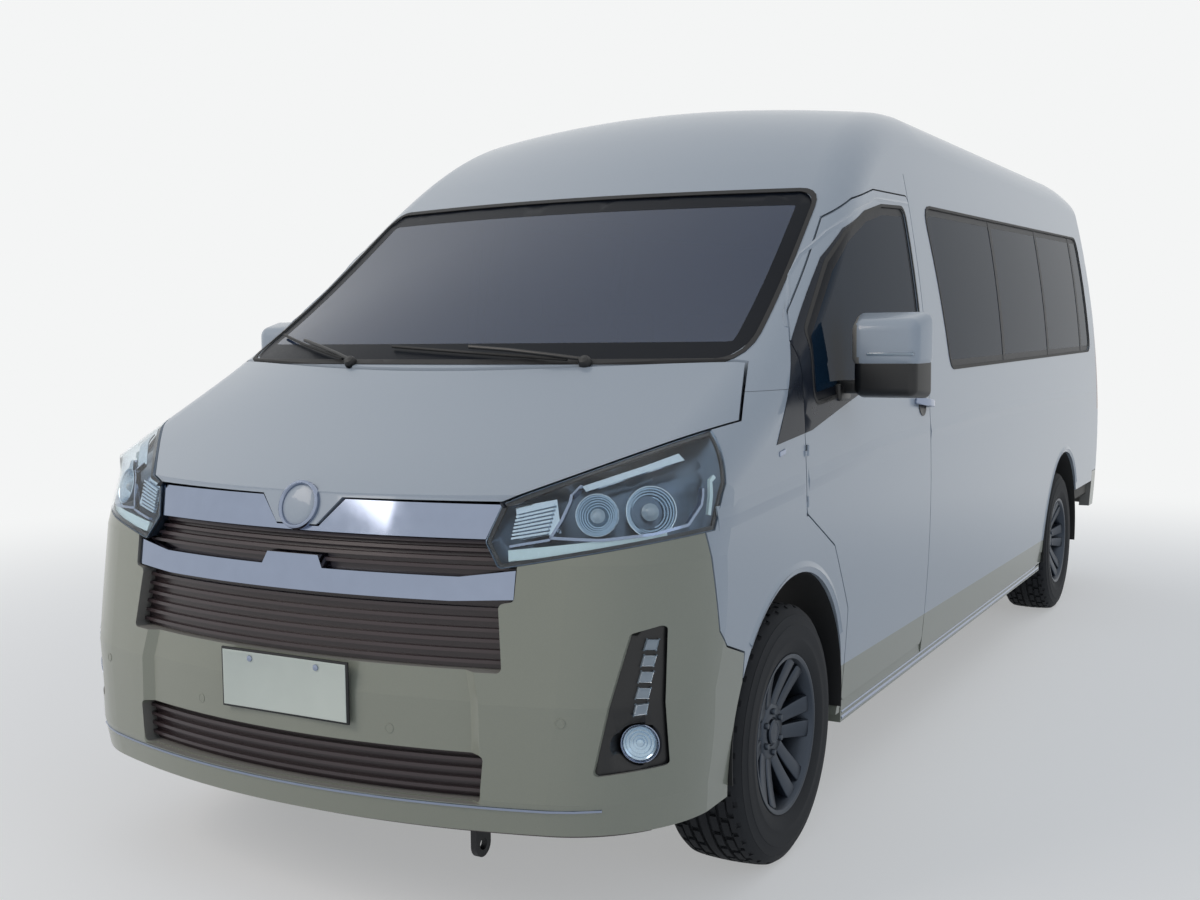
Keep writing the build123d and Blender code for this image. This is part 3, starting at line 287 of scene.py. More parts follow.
def panel_paint(name, upper, lower, line_z, lined=True):
    """Lacquered paint in two tones, with the cabin's lining on inward faces"""
    material, tree, shader = finish_named(
        name, upper, Coat_Roughness=0.03, Specular_IOR_Level=0.3
    )
    place = node(tree, "SeparateXYZ", {0: node(tree, "TexCoord")["Object"]})
    line = node(
        tree, "Math", {0: place["Y"], 1: TWO_TONE_FALL, 2: line_z}, operation="MULTIPLY_ADD"
    )[0]
    below = node(tree, "Math", {0: place["Z"], 1: line}, operation="LESS_THAN")[0]
    tones = node(
        tree, "Mix", {0: below, 6: colour(upper), 7: colour(lower)}, data_type="RGBA"
    )[2]
    pearl = scaled(tree, tones, ranged(tree, noise(tree, 1 / FLAKE_SIZE, 2.0), 0.97, 1.03))
    if not lined:
        tree.links.new(pearl, shader.inputs["Base Color"])
        shader.inputs["Roughness"].default_value = PAINT_ROUGHNESS
        shader.inputs["Coat Weight"].default_value = LACQUER
        return material
    inward = inward_share(tree)
    whole = node(tree, "Mix", {0: inward, 6: pearl, 7: colour(LINING)}, data_type="RGBA")[2]
    dull = ranged(tree, inward, PAINT_ROUGHNESS, LINING_ROUGHNESS)
    tree.links.new(whole, shader.inputs["Base Color"])
    tree.links.new(dull, shader.inputs["Roughness"])
    tree.links.new(ranged(tree, inward, LACQUER, 0.0), shader.inputs["Coat Weight"])
    return material


pearl_paint = panel_paint("pearl_over_champagne_paint", PEARL_WITH_PAINTED_SHADE, CHAMPAGNE, TWO_TONE_Z)
champagne_paint = panel_paint("champagne_paint", CHAMPAGNE, CHAMPAGNE, 0)
bonnet_paint = panel_paint("pearl_bonnet_paint", PEARL_WITH_PAINTED_SHADE, PEARL_WITH_PAINTED_SHADE, 0, lined=False)

# %% [markdown]
# The rest of the body's finishes are plain ones: dark tinted safety glass,
# moulded black plastic with a fine grain, cast and painted steel under the
# floor, and rubber.


# %% Glass, plastic, steel and rubber
def smooth(name, base, roughness, spread, size, haze, **values):
    """A smooth finish whose sheen and tone vary a little, from washing and handling"""
    material, tree, shader = finish_named(name, base, **values)
    marks = noise(tree, 1 / size, 5.0)
    sheen = ranged(tree, marks, max(roughness - spread, 0.0), roughness + spread)
    varied = scaled(tree, colour(base)[:3], ranged(tree, marks, 1 - haze, 1 + haze))
    tree.links.new(sheen, shader.inputs["Roughness"])
    tree.links.new(varied, shader.inputs["Base Color"])
    return material


def grained(name, base, roughness, grain_size, depth):
    """Moulded plastic or cast metal: one colour with a fine raised grain"""
    material, tree, shader = finish_named(name, base, Roughness=roughness)
    grain = noise(tree, 1 / grain_size, 3.0)
    raised = node(tree, "Bump", {"Strength": 0.25, "Distance": depth, "Height": grain})[0]
    patches = ranged(tree, noise(tree, 6.0, 2.0), 0.85, 1.15)
    tree.links.new(raised, shader.inputs["Normal"])
    tree.links.new(scaled(tree, colour(base)[:3], patches), shader.inputs["Base Color"])
    return material


screen_glass = smooth(
    "laminated_screen_glass", "#4e6284", 0.02, 0.02, 0.15, 0.03, IOR=1.4,
    Transmission_Weight=0.6,
)
tinted_glass = smooth(
    "tinted_safety_glass", "#1c3144", 0.02, 0.02, 0.15, 0.04, IOR=1.06,
    Transmission_Weight=0.22, Coat_Weight=0.12, Coat_Roughness=0.01,
)
black_plastic = grained("grained_black_polypropylene", "#15171a", 0.55, 0.0012, 0.0004)
satin_black = grained("satin_black_abs", "#1b1c1e", 0.38, 0.002, 0.0002)
chassis_steel = grained("painted_chassis_steel", "#26272a", 0.6, 0.004, 0.0006)
cast_iron = grained("cast_iron", "#55524e", 0.55, 0.003, 0.0008)
grey_trim = grained("moulded_grey_trim", "#5f5d59", 0.7, 0.0015, 0.0005)
rubber = grained("tyre_rubber", "#1b1e23", 0.85, 0.004, 0.0006)
# The grille slats are piano black; their colour is lifted and tinted brown as a painted reflection
# of a sunset sky.
slat_black_with_painted_reflection = grained("piano_black_abs_with_painted_sunset_reflection", "#453a3c", 0.28, 0.002, 0.0001)
seal_rubber = grained("extruded_seal_rubber", "#121316", 0.6, 0.002, 0.0002)
lamp_black = grained("satin_black_lamp_bezel", "#1a1e25", 0.3, 0.003, 0.0001)
clear_lens = smooth(
    "clear_polycarbonate", "#f1f6f9", 0.02, 0.015, 0.05, 0.02, IOR=1.08,
    Transmission_Weight=1.0, Coat_Weight=0.35, Coat_Roughness=0.02,
)
red_lens = smooth(
    "red_lamp_acrylic", "#8c1016", 0.05, 0.03, 0.05, 0.08, IOR=1.49, Transmission_Weight=0.35
)
chrome = smooth("bright_chrome_plate", "#929cb0", 0.09, 0.04, 0.05, 0.06, Metallic=1.0)
alloy = smooth("painted_alloy", "#434a54", 0.34, 0.08, 0.004, 0.10, Metallic=0.85)
lamp_silver = smooth("vapour_coated_reflector", "#bccbd8", 0.16, 0.05, 0.02, 0.05, Metallic=1.0)
lamp_tray = smooth("dull_silver_lamp_tray", "#566678", 0.35, 0.08, 0.02, 0.12, Metallic=0.7)
lamp_glass = smooth(
    "projector_glass", "#a9bccb", 0.04, 0.03, 0.01, 0.04, IOR=1.5, Transmission_Weight=0.4,
    Coat_Weight=1.0,
)
lamp_blue = smooth(
    "frosted_marker_strip", "#c6dde4", 0.25, 0.05, 0.006, 0.06, Transmission_Weight=0.1,
    Coat_Weight=0.6,
)
ceramic_black = smooth(
    "fired_ceramic_band", "#10151e", 0.35, 0.06, 0.01, 0.15, Specular_IOR_Level=0.08
)
gloss_black = smooth("gloss_black_abs", "#1d2430", 0.28, 0.03, 0.08, 0.05, Specular_IOR_Level=0.15)
mirror_glass = smooth("silvered_mirror", "#c9d2da", 0.03, 0.02, 0.05, 0.03, Metallic=1.0)
amber_lens = smooth(
    "amber_lamp_acrylic", "#b8641a", 0.06, 0.03, 0.03, 0.08, IOR=1.49, Transmission_Weight=0.3
)
blank_plate = smooth("blank_plate_enamel", "#d3dbd3", 0.4, 0.08, 0.08, 0.05)


# %% Finishes on the CAD nodes
def dress(names, material):
    """Give CAD nodes one material"""
    for name in names:
        data = nodes[name].data
        data.materials.clear()
        data.materials.append(material)


dress(
    ["roof_panel", "front_frame", "body_side_left", "body_side_right", "front_wings",
     "tailgate", "front_door_left", "front_door_right", "sliding_door"],
    pearl_paint,
)
dress(["bonnet"], bonnet_paint)
dress(["front_bumper", "rear_bumper", "sill_covers"], champagne_paint)
dress(["windscreen"], screen_glass)
dress(
    ["side_glass", "tailgate_glass", "door_glass_left", "door_glass_right"],
    tinted_glass,
)
dress(["headlamps"], clear_lens)
dress(["grille"], slat_black_with_painted_reflection)
dress(["fog_lamps"], satin_black)
dress(["grille_chrome"], chrome)
dress(["tail_lamps"], red_lens)
dress(["floor_pan", "bulkhead", "front_subframe", "rear_axle", "fuel_tank",
       "propeller_shaft", "front_tow_eye", "rear_tow_eye"], chassis_steel)
dress(["engine_block", "exhaust", "knuckle_left", "knuckle_right"], cast_iron)
dress(["dashboard", "steering_wheel", "mirror_left", "mirror_right"], black_plastic)
dress(["front_seats", "passenger_seats"], grey_trim)
dress([name for name in nodes if name.startswith("tyre_")] + ["spare_wheel"], rubber)
dress([name for name in nodes if name.startswith("rim_")], alloy)

# %% [markdown]
# Small helpers keep the modelling short. One turns a finished bmesh into a
# piece that rides on a CAD body, shaded smooth with its sharp edges kept. Some
# copy, mirror and join shapes, one rounds edges, and one turns a profile round
# a line, as a lathe does. The last ones pick faces from a CAD node, which is
# how a lens or a strip gets exactly the body's own curve.


# %% Modelling helpers
SHARP = math.radians(32)
SPINE_HALF_LENGTH = 1.7
SPINE_Z = 0.9
SIDES = ((1, "left"), (-1, "right"))


def piece_from(name, shape, body, *materials):
    """Turn a bmesh into a piece that rides on a body"""
    data = bpy.data.meshes.new(name)
    shape.to_mesh(data)
    shape.free()
    for material in materials:
        data.materials.append(material)
    data.polygons.foreach_set("use_smooth", [True] * len(data.polygons))
    data.set_sharp_from_angle(angle=SHARP)
    piece = new_object(name, data)
    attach(piece, body)
    return piece


def mesh_of(shape):
    """A loose mesh made from a bmesh, which is freed"""
    data = bpy.data.meshes.new("part")
    shape.to_mesh(data)
    shape.free()
    return data


def join(shape, part):
    """Add a second bmesh to a shape"""
    data = mesh_of(part)
    shape.from_mesh(data)
    bpy.data.meshes.remove(data)


def mirror(shape):
    """Turn a shape into its mirror image on the other side of the bus"""
    bmesh.ops.scale(shape, vec=(-1, 1, 1), verts=shape.verts)
    bmesh.ops.reverse_faces(shape, faces=shape.faces)


def other_hand(shape):
    """Add a shape's mirror image on the other side of the bus"""
    image = shape.copy()
    mirror(image)
    join(shape, image)


def edges_at(verts):
    """Every edge that meets some vertices"""
    return list({edge for vert in verts for edge in vert.link_edges})


def round_edges(shape, edges, reach, segments):
    """Bevel some edges into a round of a few segments"""
    bmesh.ops.bevel(
        shape, geom=edges, offset=reach, segments=segments, profile=0.5, affect="EDGES",
        material=-1,
    )


def lathe(shape, profile, centre, axis, steps, closed=True):
    """Spin a profile of (along, out) points round a line, and return its faces"""
    along = Vector(axis).normalized()
    out = along.orthogonal().normalized()
    points = [
        shape.verts.new(Vector(centre) + along * step + out * reach)
        for step, reach in profile
    ]
    ends = list(zip(points, points[1:]))
    if closed:
        ends.append((points[-1], points[0]))
    edges = [shape.edges.new(pair) for pair in ends]
    before = set(shape.faces)
    bmesh.ops.spin(
        shape, geom=points + edges, cent=centre, axis=along, dvec=(0, 0, 0),
        angle=math.tau, steps=steps, use_merge=True, use_normal_flip=False,
        use_duplicate=False,
    )
    bmesh.ops.remove_doubles(shape, verts=shape.verts, dist=1e-6)
    made = [face for face in shape.faces if face not in before]
    bmesh.ops.recalc_face_normals(shape, faces=made)
    return made


def cad_copy(name):
    """A bmesh of a CAD node, with its loose triangles joined"""
    shape = bmesh.new()
    shape.from_mesh(nodes[name].data)
    bmesh.ops.remove_doubles(shape, verts=shape.verts, dist=1e-5)
    return shape


def outwardness(face):
    """How squarely a face looks away from the cabin's middle line"""
    middle = face.calc_center_median()
    along = max(-SPINE_HALF_LENGTH, min(SPINE_HALF_LENGTH, middle.y))
    return face.normal.dot((middle - Vector((0, along, SPINE_Z))).normalized())


def keep_faces(shape, rule):
    """Delete every face that the rule turns down"""
    dropped = [face for face in shape.faces if not rule(face)]
    bmesh.ops.delete(shape, geom=dropped, context="FACES")


def lamp_part(name, limit, outward):
    """The faces of a CAD lamp that look outwards past a limit, or the others"""
    shape = cad_copy(name)
    keep_faces(shape, lambda face: (outwardness(face) > limit) == outward)
    return shape


# %% [markdown]
# ## Tyres
# A van tyre is a moulded ring: smooth sidewalls with a few raised ribs, and a
# tread of ribs cut through by slanting grooves. The ring is a profile turned
# round the axle, and the cross grooves are tread faces pushed in, one step in
# every few, so the shoulder breaks up into blocks as the real one does.

# %% Tyres
TYRE_STEPS = 132
GROOVE_DEPTH = 0.008
GROOVE_EVERY = 4
GROOVE_LEAN = 1.6
GROOVE_LEAN_REACH = 0.02
TREAD_EDGE_RADIUS = 0.345
GROOVE_FLOOR_RADIUS = 0.344
MIDDLE_RIB_HALF = 0.022
TYRE_HALF_PROFILE = [
    (0.000, 0.3555), (0.011, 0.3555), (0.0112, 0.3475), (0.0208, 0.3473), (0.021, 0.3553),
    (0.040, 0.3545), (0.0402, 0.3465), (0.0498, 0.3460), (0.050, 0.3540), (0.068, 0.3528),
    (0.0682, 0.3455), (0.0738, 0.3450), (0.074, 0.3522), (0.088, 0.3500), (0.1000, 0.3420),
    (0.1095, 0.3250), (0.1110, 0.3245), (0.1115, 0.3220), (0.1120, 0.3150), (0.1160, 0.3000),
    (0.1172, 0.2990), (0.1174, 0.2960), (0.1172, 0.2800), (0.1160, 0.2620), (0.1165, 0.2600),
    (0.1165, 0.2560), (0.1150, 0.2500), (0.1110, 0.2300), (0.1055, 0.2200), (0.1030, 0.2120),
    (0.0990, 0.2061),
]


def rubber_tyre(shape, centre, steps):
    """One tyre with its tread, its axle along X"""
    right_half = [(-along, out) for along, out in reversed(TYRE_HALF_PROFILE)]
    profile = right_half[:-1] + TYRE_HALF_PROFILE
    made = lathe(shape, profile, centre, (1, 0, 0), steps)
    middle = Vector(centre)
    step_angle = math.tau / steps

    def groove(face):
        spot = face.calc_center_median() - middle
        if math.hypot(spot.y, spot.z) < TREAD_EDGE_RADIUS or abs(spot.x) < MIDDLE_RIB_HALF:
            return False
        place = math.atan2(spot.z, spot.y) / step_angle
        lean = GROOVE_LEAN if spot.x > 0 else -GROOVE_LEAN
        return round(place + lean * abs(spot.x) / GROOVE_LEAN_REACH) % GROOVE_EVERY == 0

    chosen = [face for face in made if face.is_valid and groove(face)]
    cut = bmesh.ops.extrude_face_region(shape, geom=chosen)
    sunk = [item for item in cut["geom"] if isinstance(item, bmesh.types.BMVert)]
    old = [face for face in chosen if face.is_valid]
    bmesh.ops.delete(shape, geom=old, context="FACES_ONLY")
    for vert in sunk:
        spot = vert.co - middle
        out = math.hypot(spot.y, spot.z)
        depth = min(GROOVE_DEPTH, max(0.0, out - GROOVE_FLOOR_RADIUS))
        vert.co -= Vector((0, spot.y, spot.z)) / out * depth


# %% [markdown]
# ## Alloy wheels
# Each wheel is one aluminium casting: a rim, a hub with six nuts round a blank
# cap, and six pairs of spokes that run out and forward to the rim's edge. A
# spoke starts as a box, is tapered and bent forward, gets its edges bevelled,
# and is spun round the axle in six copies.

# %% Alloy wheels
RIM_STEPS = 96
RIM_PROFILE = [
    (0.0935, 0.2057), (0.0950, 0.2085), (0.0990, 0.2120), (0.1040, 0.2178), (0.1075, 0.2165),
    (0.1080, 0.2120), (0.1050, 0.2050), (0.0960, 0.2000), (0.0700, 0.1940), (0.0200, 0.1830),
    (-0.0600, 0.1720), (-0.0930, 0.1910), (-0.0950, 0.1960), (-0.0950, 0.2057),
]
HUB_PROFILE = [
    (0.0205, 0.0010), (0.0205, 0.0820), (0.0480, 0.0860), (0.0600, 0.0780), (0.0640, 0.0700),
    (0.0640, 0.0400), (0.0600, 0.0370), (0.0600, 0.0010),
]
CAP_PROFILE = [
    (0.0595, 0.0005), (0.0595, 0.0345), (0.0680, 0.0340), (0.0720, 0.0300), (0.0720, 0.0270),
    (0.0705, 0.0250), (0.0715, 0.0005),
]
BOLT_CIRCLE = 0.0570
NUT_RADIUS = 0.0105
NUT_PLACE = 0.066
PAIR_COUNT = 6
SPOKE_START = 0.066
SPOKE_LENGTH = 0.132


def spoke(shape, lean):
    """One spoke along +Y, leaning to one side of its pair"""
    made = bmesh.ops.create_cube(shape, size=1.0)["verts"]
    long_edges = [
        edge for edge in edges_at(made)
        if abs(edge.verts[0].co.y - edge.verts[1].co.y) > 0.5
    ]
    bmesh.ops.subdivide_edges(shape, edges=long_edges, cuts=4, use_grid_fill=True)
    for vert in shape.verts:
        share = vert.co.y + 0.5
        width = 0.037 + 0.013 * share
        side = lean * (0.0210 + 0.016 * share) + vert.co.z * width
        deep = 0.040 - 0.014 * share
        front = 0.0600 + 0.036 * share**1.3
        vert.co = Vector(
            (front + (vert.co.x - 0.5) * deep, SPOKE_START + share * SPOKE_LENGTH, side)
        )
    sharp = [
        edge for edge in shape.edges if edge.is_manifold and edge.calc_face_angle() > 0.6
    ]
    round_edges(shape, sharp, 0.004, 3)


def alloy_wheel(shape):
    """One wheel round the origin, its face towards +X"""
    for lean in (1, -1):
        pair = bmesh.new()
        spoke(pair, lean)
        bmesh.ops.spin(
            pair, geom=pair.verts[:] + pair.edges[:] + pair.faces[:], cent=(0, 0, 0),
            axis=(1, 0, 0), dvec=(0, 0, 0), angle=math.tau * (PAIR_COUNT - 1) / PAIR_COUNT,
            steps=PAIR_COUNT - 1, use_merge=False, use_normal_flip=False, use_duplicate=True,
        )
        bmesh.ops.recalc_face_normals(pair, faces=pair.faces)
        join(shape, pair)
    for profile, steps in ((RIM_PROFILE, RIM_STEPS), (HUB_PROFILE, 60), (CAP_PROFILE, 48)):
        lathe(shape, profile, (0, 0, 0), (1, 0, 0), steps)
    for number in range(6):
        angle = math.tau * (number + 0.5) / 6
        place = Matrix.Translation(
            (NUT_PLACE, BOLT_CIRCLE * math.cos(angle), BOLT_CIRCLE * math.sin(angle))
        )
        nut = bmesh.ops.create_cone(
            shape, cap_ends=True, segments=6, radius1=NUT_RADIUS, radius2=NUT_RADIUS * 0.85,
            depth=0.014, matrix=place @ Matrix.Rotation(math.pi / 2, 4, "Y"),
        )["verts"]
        round_edges(shape, edges_at(nut), 0.0012, 1)


TRACK_HALF = 0.837
HUB_HEIGHT = 0.350
AXLES = {"front": -2.0, "rear": 1.86}

for end, axle_y in AXLES.items():
    for hand, side in SIDES:
        middle = (hand * TRACK_HALF, axle_y, HUB_HEIGHT)
        ring = bmesh.new()
        rubber_tyre(ring, middle, TYRE_STEPS)
        tyre = piece_from(f"tyre_tread_{end}_{side}", ring, f"wheel_{end}_{side}", rubber)
        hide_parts(f"tyre_{end}_{side}")
        casting = bmesh.new()
        alloy_wheel(casting)
        if hand < 0:
            mirror(casting)
        bmesh.ops.translate(casting, vec=middle, verts=casting.verts)
        wheel = piece_from(f"alloy_wheel_{end}_{side}", casting, f"wheel_{end}_{side}", alloy)
        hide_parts(f"rim_{end}_{side}")
print("tyre faces:", len(tyre.data.polygons), "wheel faces:", len(wheel.data.polygons))

# %% [markdown]
# ## Trim cut from the body's own skin
# Much of a bus's trim lies flush on its panels: lamp covers, black corner
# pieces, seals and plates. The surest way to give such a piece the panel's
# curve is to take it from the panel. A copy of the panel's outward faces is cut
# along an outline with the bisect operator, trimmed to what lies inside it,
# lifted by a fraction of a millimetre and given a thickness.


# %% Cutting trim from a skin
VIEWS = {"side": (1, 2), "front": (0, 2)}


def inside(point, outline):
    """Whether a point lies inside an outline, by counting the edges it is left of"""
    crossed = False
    for (ax, ay), (bx, by) in zip(outline, outline[1:] + outline[:1]):
        if (ay > point[1]) != (by > point[1]):
            if point[0] < ax + (point[1] - ay) * (bx - ax) / (by - ay):
                crossed = not crossed
    return crossed


def seen_at(face, view):
    """Where the middle of a face lies in one view"""
    middle = face.calc_center_median()
    return [middle[axis] for axis in VIEWS[view]]


def cut_along(shape, outline, view):
    """Cut a skin along an outline drawn in one view"""
    across, up_axis = VIEWS[view]
    for start, end in zip(outline, outline[1:] + outline[:1]):
        spot = Vector((0, 0, 0))
        spot[across], spot[up_axis] = start
        lean = Vector((0, 0, 0))
        lean[across], lean[up_axis] = end[1] - start[1], start[0] - end[0]
        bmesh.ops.bisect_plane(
            shape, geom=shape.verts[:] + shape.edges[:] + shape.faces[:], dist=1e-6,
            plane_co=spot, plane_no=lean,
        )


def thicken(shape, thickness, lift=0.0):
    """Lift an open skin along its normals, then give it a wall below that"""
    shape.normal_update()
    shape.verts.index_update()
    for vert in shape.verts:
        vert.co += vert.normal * lift
    rims = [
        (edge.verts[0].index, edge.verts[1].index) for edge in shape.edges if edge.is_boundary
    ]
    count = len(shape.verts)
    depths = [vert.normal * thickness for vert in shape.verts]
    walls = [bpy.data.meshes.new(name) for name in ("outer_wall", "inner_wall")]
    for wall in walls:
        shape.to_mesh(wall)
    for corner, depth in zip(walls[1].vertices, depths):
        corner.co -= depth
    shape.clear()
    for wall in walls:
        shape.from_mesh(wall)
        bpy.data.meshes.remove(wall)
    shape.verts.ensure_lookup_table()
    for first, second in rims:
        shape.faces.new([
            shape.verts[place] for place in (second, first, first + count, second + count)
        ])
    bmesh.ops.recalc_face_normals(shape, faces=shape.faces)


def skin_of(names, outline, view, hand=None, facing=0.35):
    """The outward skin of some CAD nodes inside an outline, on one side or both"""
    skin = bmesh.new()
    for name in names:
        skin.from_mesh(nodes[name].data)
    bmesh.ops.remove_doubles(skin, verts=skin.verts, dist=1e-5)
    keep_faces(
        skin,
        lambda face: outwardness(face) > facing
        and (hand is None or face.calc_center_median().x * hand > 0),
    )
    cut_along(skin, outline, view)
    keep_faces(skin, lambda face: inside(seen_at(face, view), outline))
    return skin


# %% [markdown]
# Bars and ridges that follow a panel are laid instead of cut. Rays find the
# panel along a line of places, a short section is drawn at each point found,
# and the sections are joined into one closed bar.


# %% Boxes, bars and hoses
def box_piece(shape, low, high, bevel=0.0, segments=2):
    """A box with rounded edges, from its lowest to its highest corner"""
    verts = bmesh.ops.create_cube(shape, size=1.0)["verts"]
    for vert in verts:
        vert.co = Vector(
            [low[axis] + (vert.co[axis] + 0.5) * (high[axis] - low[axis]) for axis in range(3)]
        )
    if bevel:
        round_edges(shape, edges_at(verts), bevel, segments)


def tree_of(names):
    """A search tree over CAD nodes, to find where a ray meets them"""
    shape = bmesh.new()
    for name in names:
        shape.from_mesh(nodes[name].data)
    tree = BVHTree.FromBMesh(shape)
    shape.free()
    return tree


def meet(tree, start, way):
    """Where a ray first meets a skin, and the skin's slope towards the ray's start"""
    place, normal, _, _ = tree.ray_cast(Vector(start), Vector(way))
    if place is None:
        return None
    return place, (-normal if normal.dot(Vector(way)) > 0 else normal)


def between(start, end, share):
    """The place a share of the way from one place to another"""
    return [a + (b - a) * share for a, b in zip(start, end)]


def bridge(shape, sections):
    """Join rows of points into a closed bar, with a face at each end"""
    rows = [[shape.verts.new(place) for place in section] for section in sections]
    faces = [shape.faces.new(rows[0]), shape.faces.new(list(reversed(rows[-1])))]
    for near, far in zip(rows, rows[1:]):
        for number in range(len(near)):
            after = (number + 1) % len(near)
            faces.append(shape.faces.new((near[after], near[number], far[number], far[after])))
    bmesh.ops.recalc_face_normals(shape, faces=faces)


def lay_bar(shape, find, places, section, least, spacing):
    """Lay a bar along places on a skin, cut into steps of about a spacing

    find gives the point and slope at a place, or nothing past the skin's edge.
    section gives the bar's corners from a point, its slope and the way across.
    """
    rows = []
    for start, end in zip(places, places[1:]):
        steps = max(least, int(math.dist(start, end) / spacing))
        for step in range(steps + (end == places[-1])):
            found = find(*between(start, end, step / steps))
            if found:
                rows.append(found)
    sections = []
    for number, (spot, slope) in enumerate(rows):
        ahead_way = rows[min(number + 1, len(rows) - 1)][0] - rows[max(number - 1, 0)][0]
        sections.append(section(spot, slope, ahead_way.cross(slope).normalized()))
    bridge(shape, sections)


def hose(name, points, radius, body, material, sides=3):
    """A round strip along points, such as a hose or a wiper's arm"""
    line = bpy.data.curves.new(name, "CURVE")
    line.dimensions = "3D"
    line.bevel_depth = radius
    line.bevel_resolution = sides
    line.use_fill_caps = True
    spline = line.splines.new("POLY")
    spline.points.add(len(points) - 1)
    for spot, point in zip(spline.points, points):
        spot.co = (*point, 1)
    holder = new_object(name, line)
    bpy.context.view_layer.update()
    data = bpy.data.meshes.new_from_object(holder)
    bpy.data.objects.remove(holder)
    shape = bmesh.new()
    shape.from_mesh(data)
    bpy.data.meshes.remove(data)
    piece_from(name, shape, body, material)


# %% [markdown]
# ## Headlamps
# The real lamp is a clear moulded cover over a black bucket. Inside stand two
# round reflectors, a ribbed turn-signal zone by the grille, a bright divider
# and a lower strip. The cover here is the outward skin of the CAD lamp made
# thin. The bucket is the rest of its faces made into a thin tray, and the
# fittings inside are spun bowls and thin bars placed just behind the cover.

# %% Headlamp covers and buckets
COVER_FACING = 0.55
COVER_THICKNESS = 0.003
TRAY_THICKNESS = 0.002
TRAY_LIFT = -0.0008

cover = lamp_part("headlamps", COVER_FACING, True)
lens_tree = BVHTree.FromBMesh(cover)
thicken(cover, COVER_THICKNESS)
piece = piece_from("headlamp_covers", cover, "body", clear_lens)
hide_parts("headlamps")

bucket = lamp_part("headlamps", COVER_FACING, False)
thicken(bucket, TRAY_THICKNESS, TRAY_LIFT)
piece_from("headlamp_buckets", bucket, "body", lamp_tray)


def on_lens(x, z):
    """The point on the lamp cover at a place in front view, and the cover's slope"""
    place, normal, _, _ = lens_tree.ray_cast(Vector((x, -3.2, z)), Vector((0, 1, 0)))
    if place is None:
        place, normal, _, _ = lens_tree.find_nearest(Vector((x, -2.7, z)))
    return place, normal


# %% [markdown]
# A reflector is a shallow bright bowl with a round lens or bulb in its middle
# and a step round its rim. Each is a profile spun round its own axis, which
# leans between straight ahead and the slope of the cover, so that its rim stays
# behind the cover all the way round.

# %% Headlamp reflectors, ribs and dividers
BOWL_PROFILE = [
    (0.000, 1.00), (-0.003, 0.985), (-0.0075, 0.94), (-0.0065, 0.91), (-0.0135, 0.85),
    (-0.0125, 0.82), (-0.0195, 0.75), (-0.0185, 0.72), (-0.0250, 0.64), (-0.0240, 0.61),
    (-0.0300, 0.53), (-0.0290, 0.50), (-0.0345, 0.40), (-0.037, 0.30), (-0.037, 0.001),
    (-0.0385, 0.001), (-0.0385, 0.31), (-0.0355, 0.48), (-0.0295, 0.66), (-0.0195, 0.84),
    (-0.0095, 0.96), (-0.0045, 1.03), (-0.0005, 1.06), (0.0015, 1.04),
]
PROJECTOR_PROFILE = [
    (-0.038, 0.30), (-0.020, 0.30), (-0.017, 0.36), (-0.014, 0.36), (-0.012, 0.30),
    (-0.004, 0.22), (0.000, 0.12), (0.001, 0.0005), (-0.038, 0.0005),
]
BOWLS = [((0.868, 1.036), 0.058), ((0.762, 1.030), 0.048)]
BOWL_GAP = 0.004
SLOPE_SHARE = 4.0
AHEAD = Vector((0.12, -1.0, 0.08)).normalized()

bowls = bmesh.new()
projectors = bmesh.new()
for (x, z), reach in BOWLS:
    middle, slope = on_lens(x, z)
    facing_way = (AHEAD + slope * SLOPE_SHARE).normalized()
    lowest = min(
        (on_lens(x + reach * math.cos(turn), z + reach * math.sin(turn))[0] - middle)
        .dot(facing_way)
        for turn in [math.tau * step / 12 for step in range(12)]
    )
    seat = middle + facing_way * (min(lowest, 0) - BOWL_GAP)
    for shape, profile, steps in (
        (bowls, BOWL_PROFILE, 48), (projectors, PROJECTOR_PROFILE, 32)
    ):
        lathe(shape, [(along, out * reach) for along, out in profile], seat, facing_way, steps)
other_hand(bowls)
other_hand(projectors)
piece_from("headlamp_bowls", bowls, "body", lamp_silver)
piece_from("headlamp_projectors", projectors, "body", lamp_glass)


def lens_bar(shape, start, end, width, depth, lift, steps=8):
    """A bar that follows the cover between two places in front view"""

    def section(spot, slope, across):
        side = across * (width / 2)
        top = spot - slope * lift
        return top + side, top - side, top - side - slope * depth, top + side - slope * depth

    lay_bar(shape, on_lens, [start, end], section, steps, math.inf)


TURN_CORNERS = [(0.580, 1.036), (0.664, 1.058), (0.656, 0.986), (0.576, 0.972)]
RIB_COUNT = 8
RIB_SIZE = (0.0048, 0.007, 0.012)
DIVIDER_LINE = [
    (0.708, 1.096), (0.700, 1.060), (0.688, 1.020), (0.668, 0.978), (0.780, 0.974),
    (0.880, 0.984), (0.928, 0.998), (0.942, 1.040), (0.942, 1.078),
]
rib_shares = [(number + 0.5) / RIB_COUNT for number in range(RIB_COUNT)]
LENS_BARS = [
    ("headlamp_turn_ribs", lamp_silver, "chrome_trim", [
        (between(TURN_CORNERS[3], TURN_CORNERS[0], share),
         between(TURN_CORNERS[2], TURN_CORNERS[1], share), *RIB_SIZE)
        for share in rib_shares
    ]),
    ("headlamp_inner_panels", lamp_silver, "chrome_trim", [
        ((0.582, 1.012), (0.676, 1.030), 0.080, 0.004, 0.024),
        ((0.715, 1.094), (0.880, 1.158), 0.026, 0.004, 0.012),
    ]),
    ("headlamp_dividers", chrome, "chrome_trim", [
        *((start, end, 0.007, 0.014, 0.004)
          for start, end in zip(DIVIDER_LINE, DIVIDER_LINE[1:])),
        ((0.578, 0.957), (0.668, 0.974), 0.006, 0.014, 0.004),
    ]),
    ("headlamp_marker_strips", lamp_blue, "lamp_lens", [
        ((0.578, 0.937), (0.900, 0.975), 0.026, 0.010, 0.008, 12),
        ((0.954, 1.015), (0.952, 1.105), 0.010, 0.008, 0.006),
    ]),
]
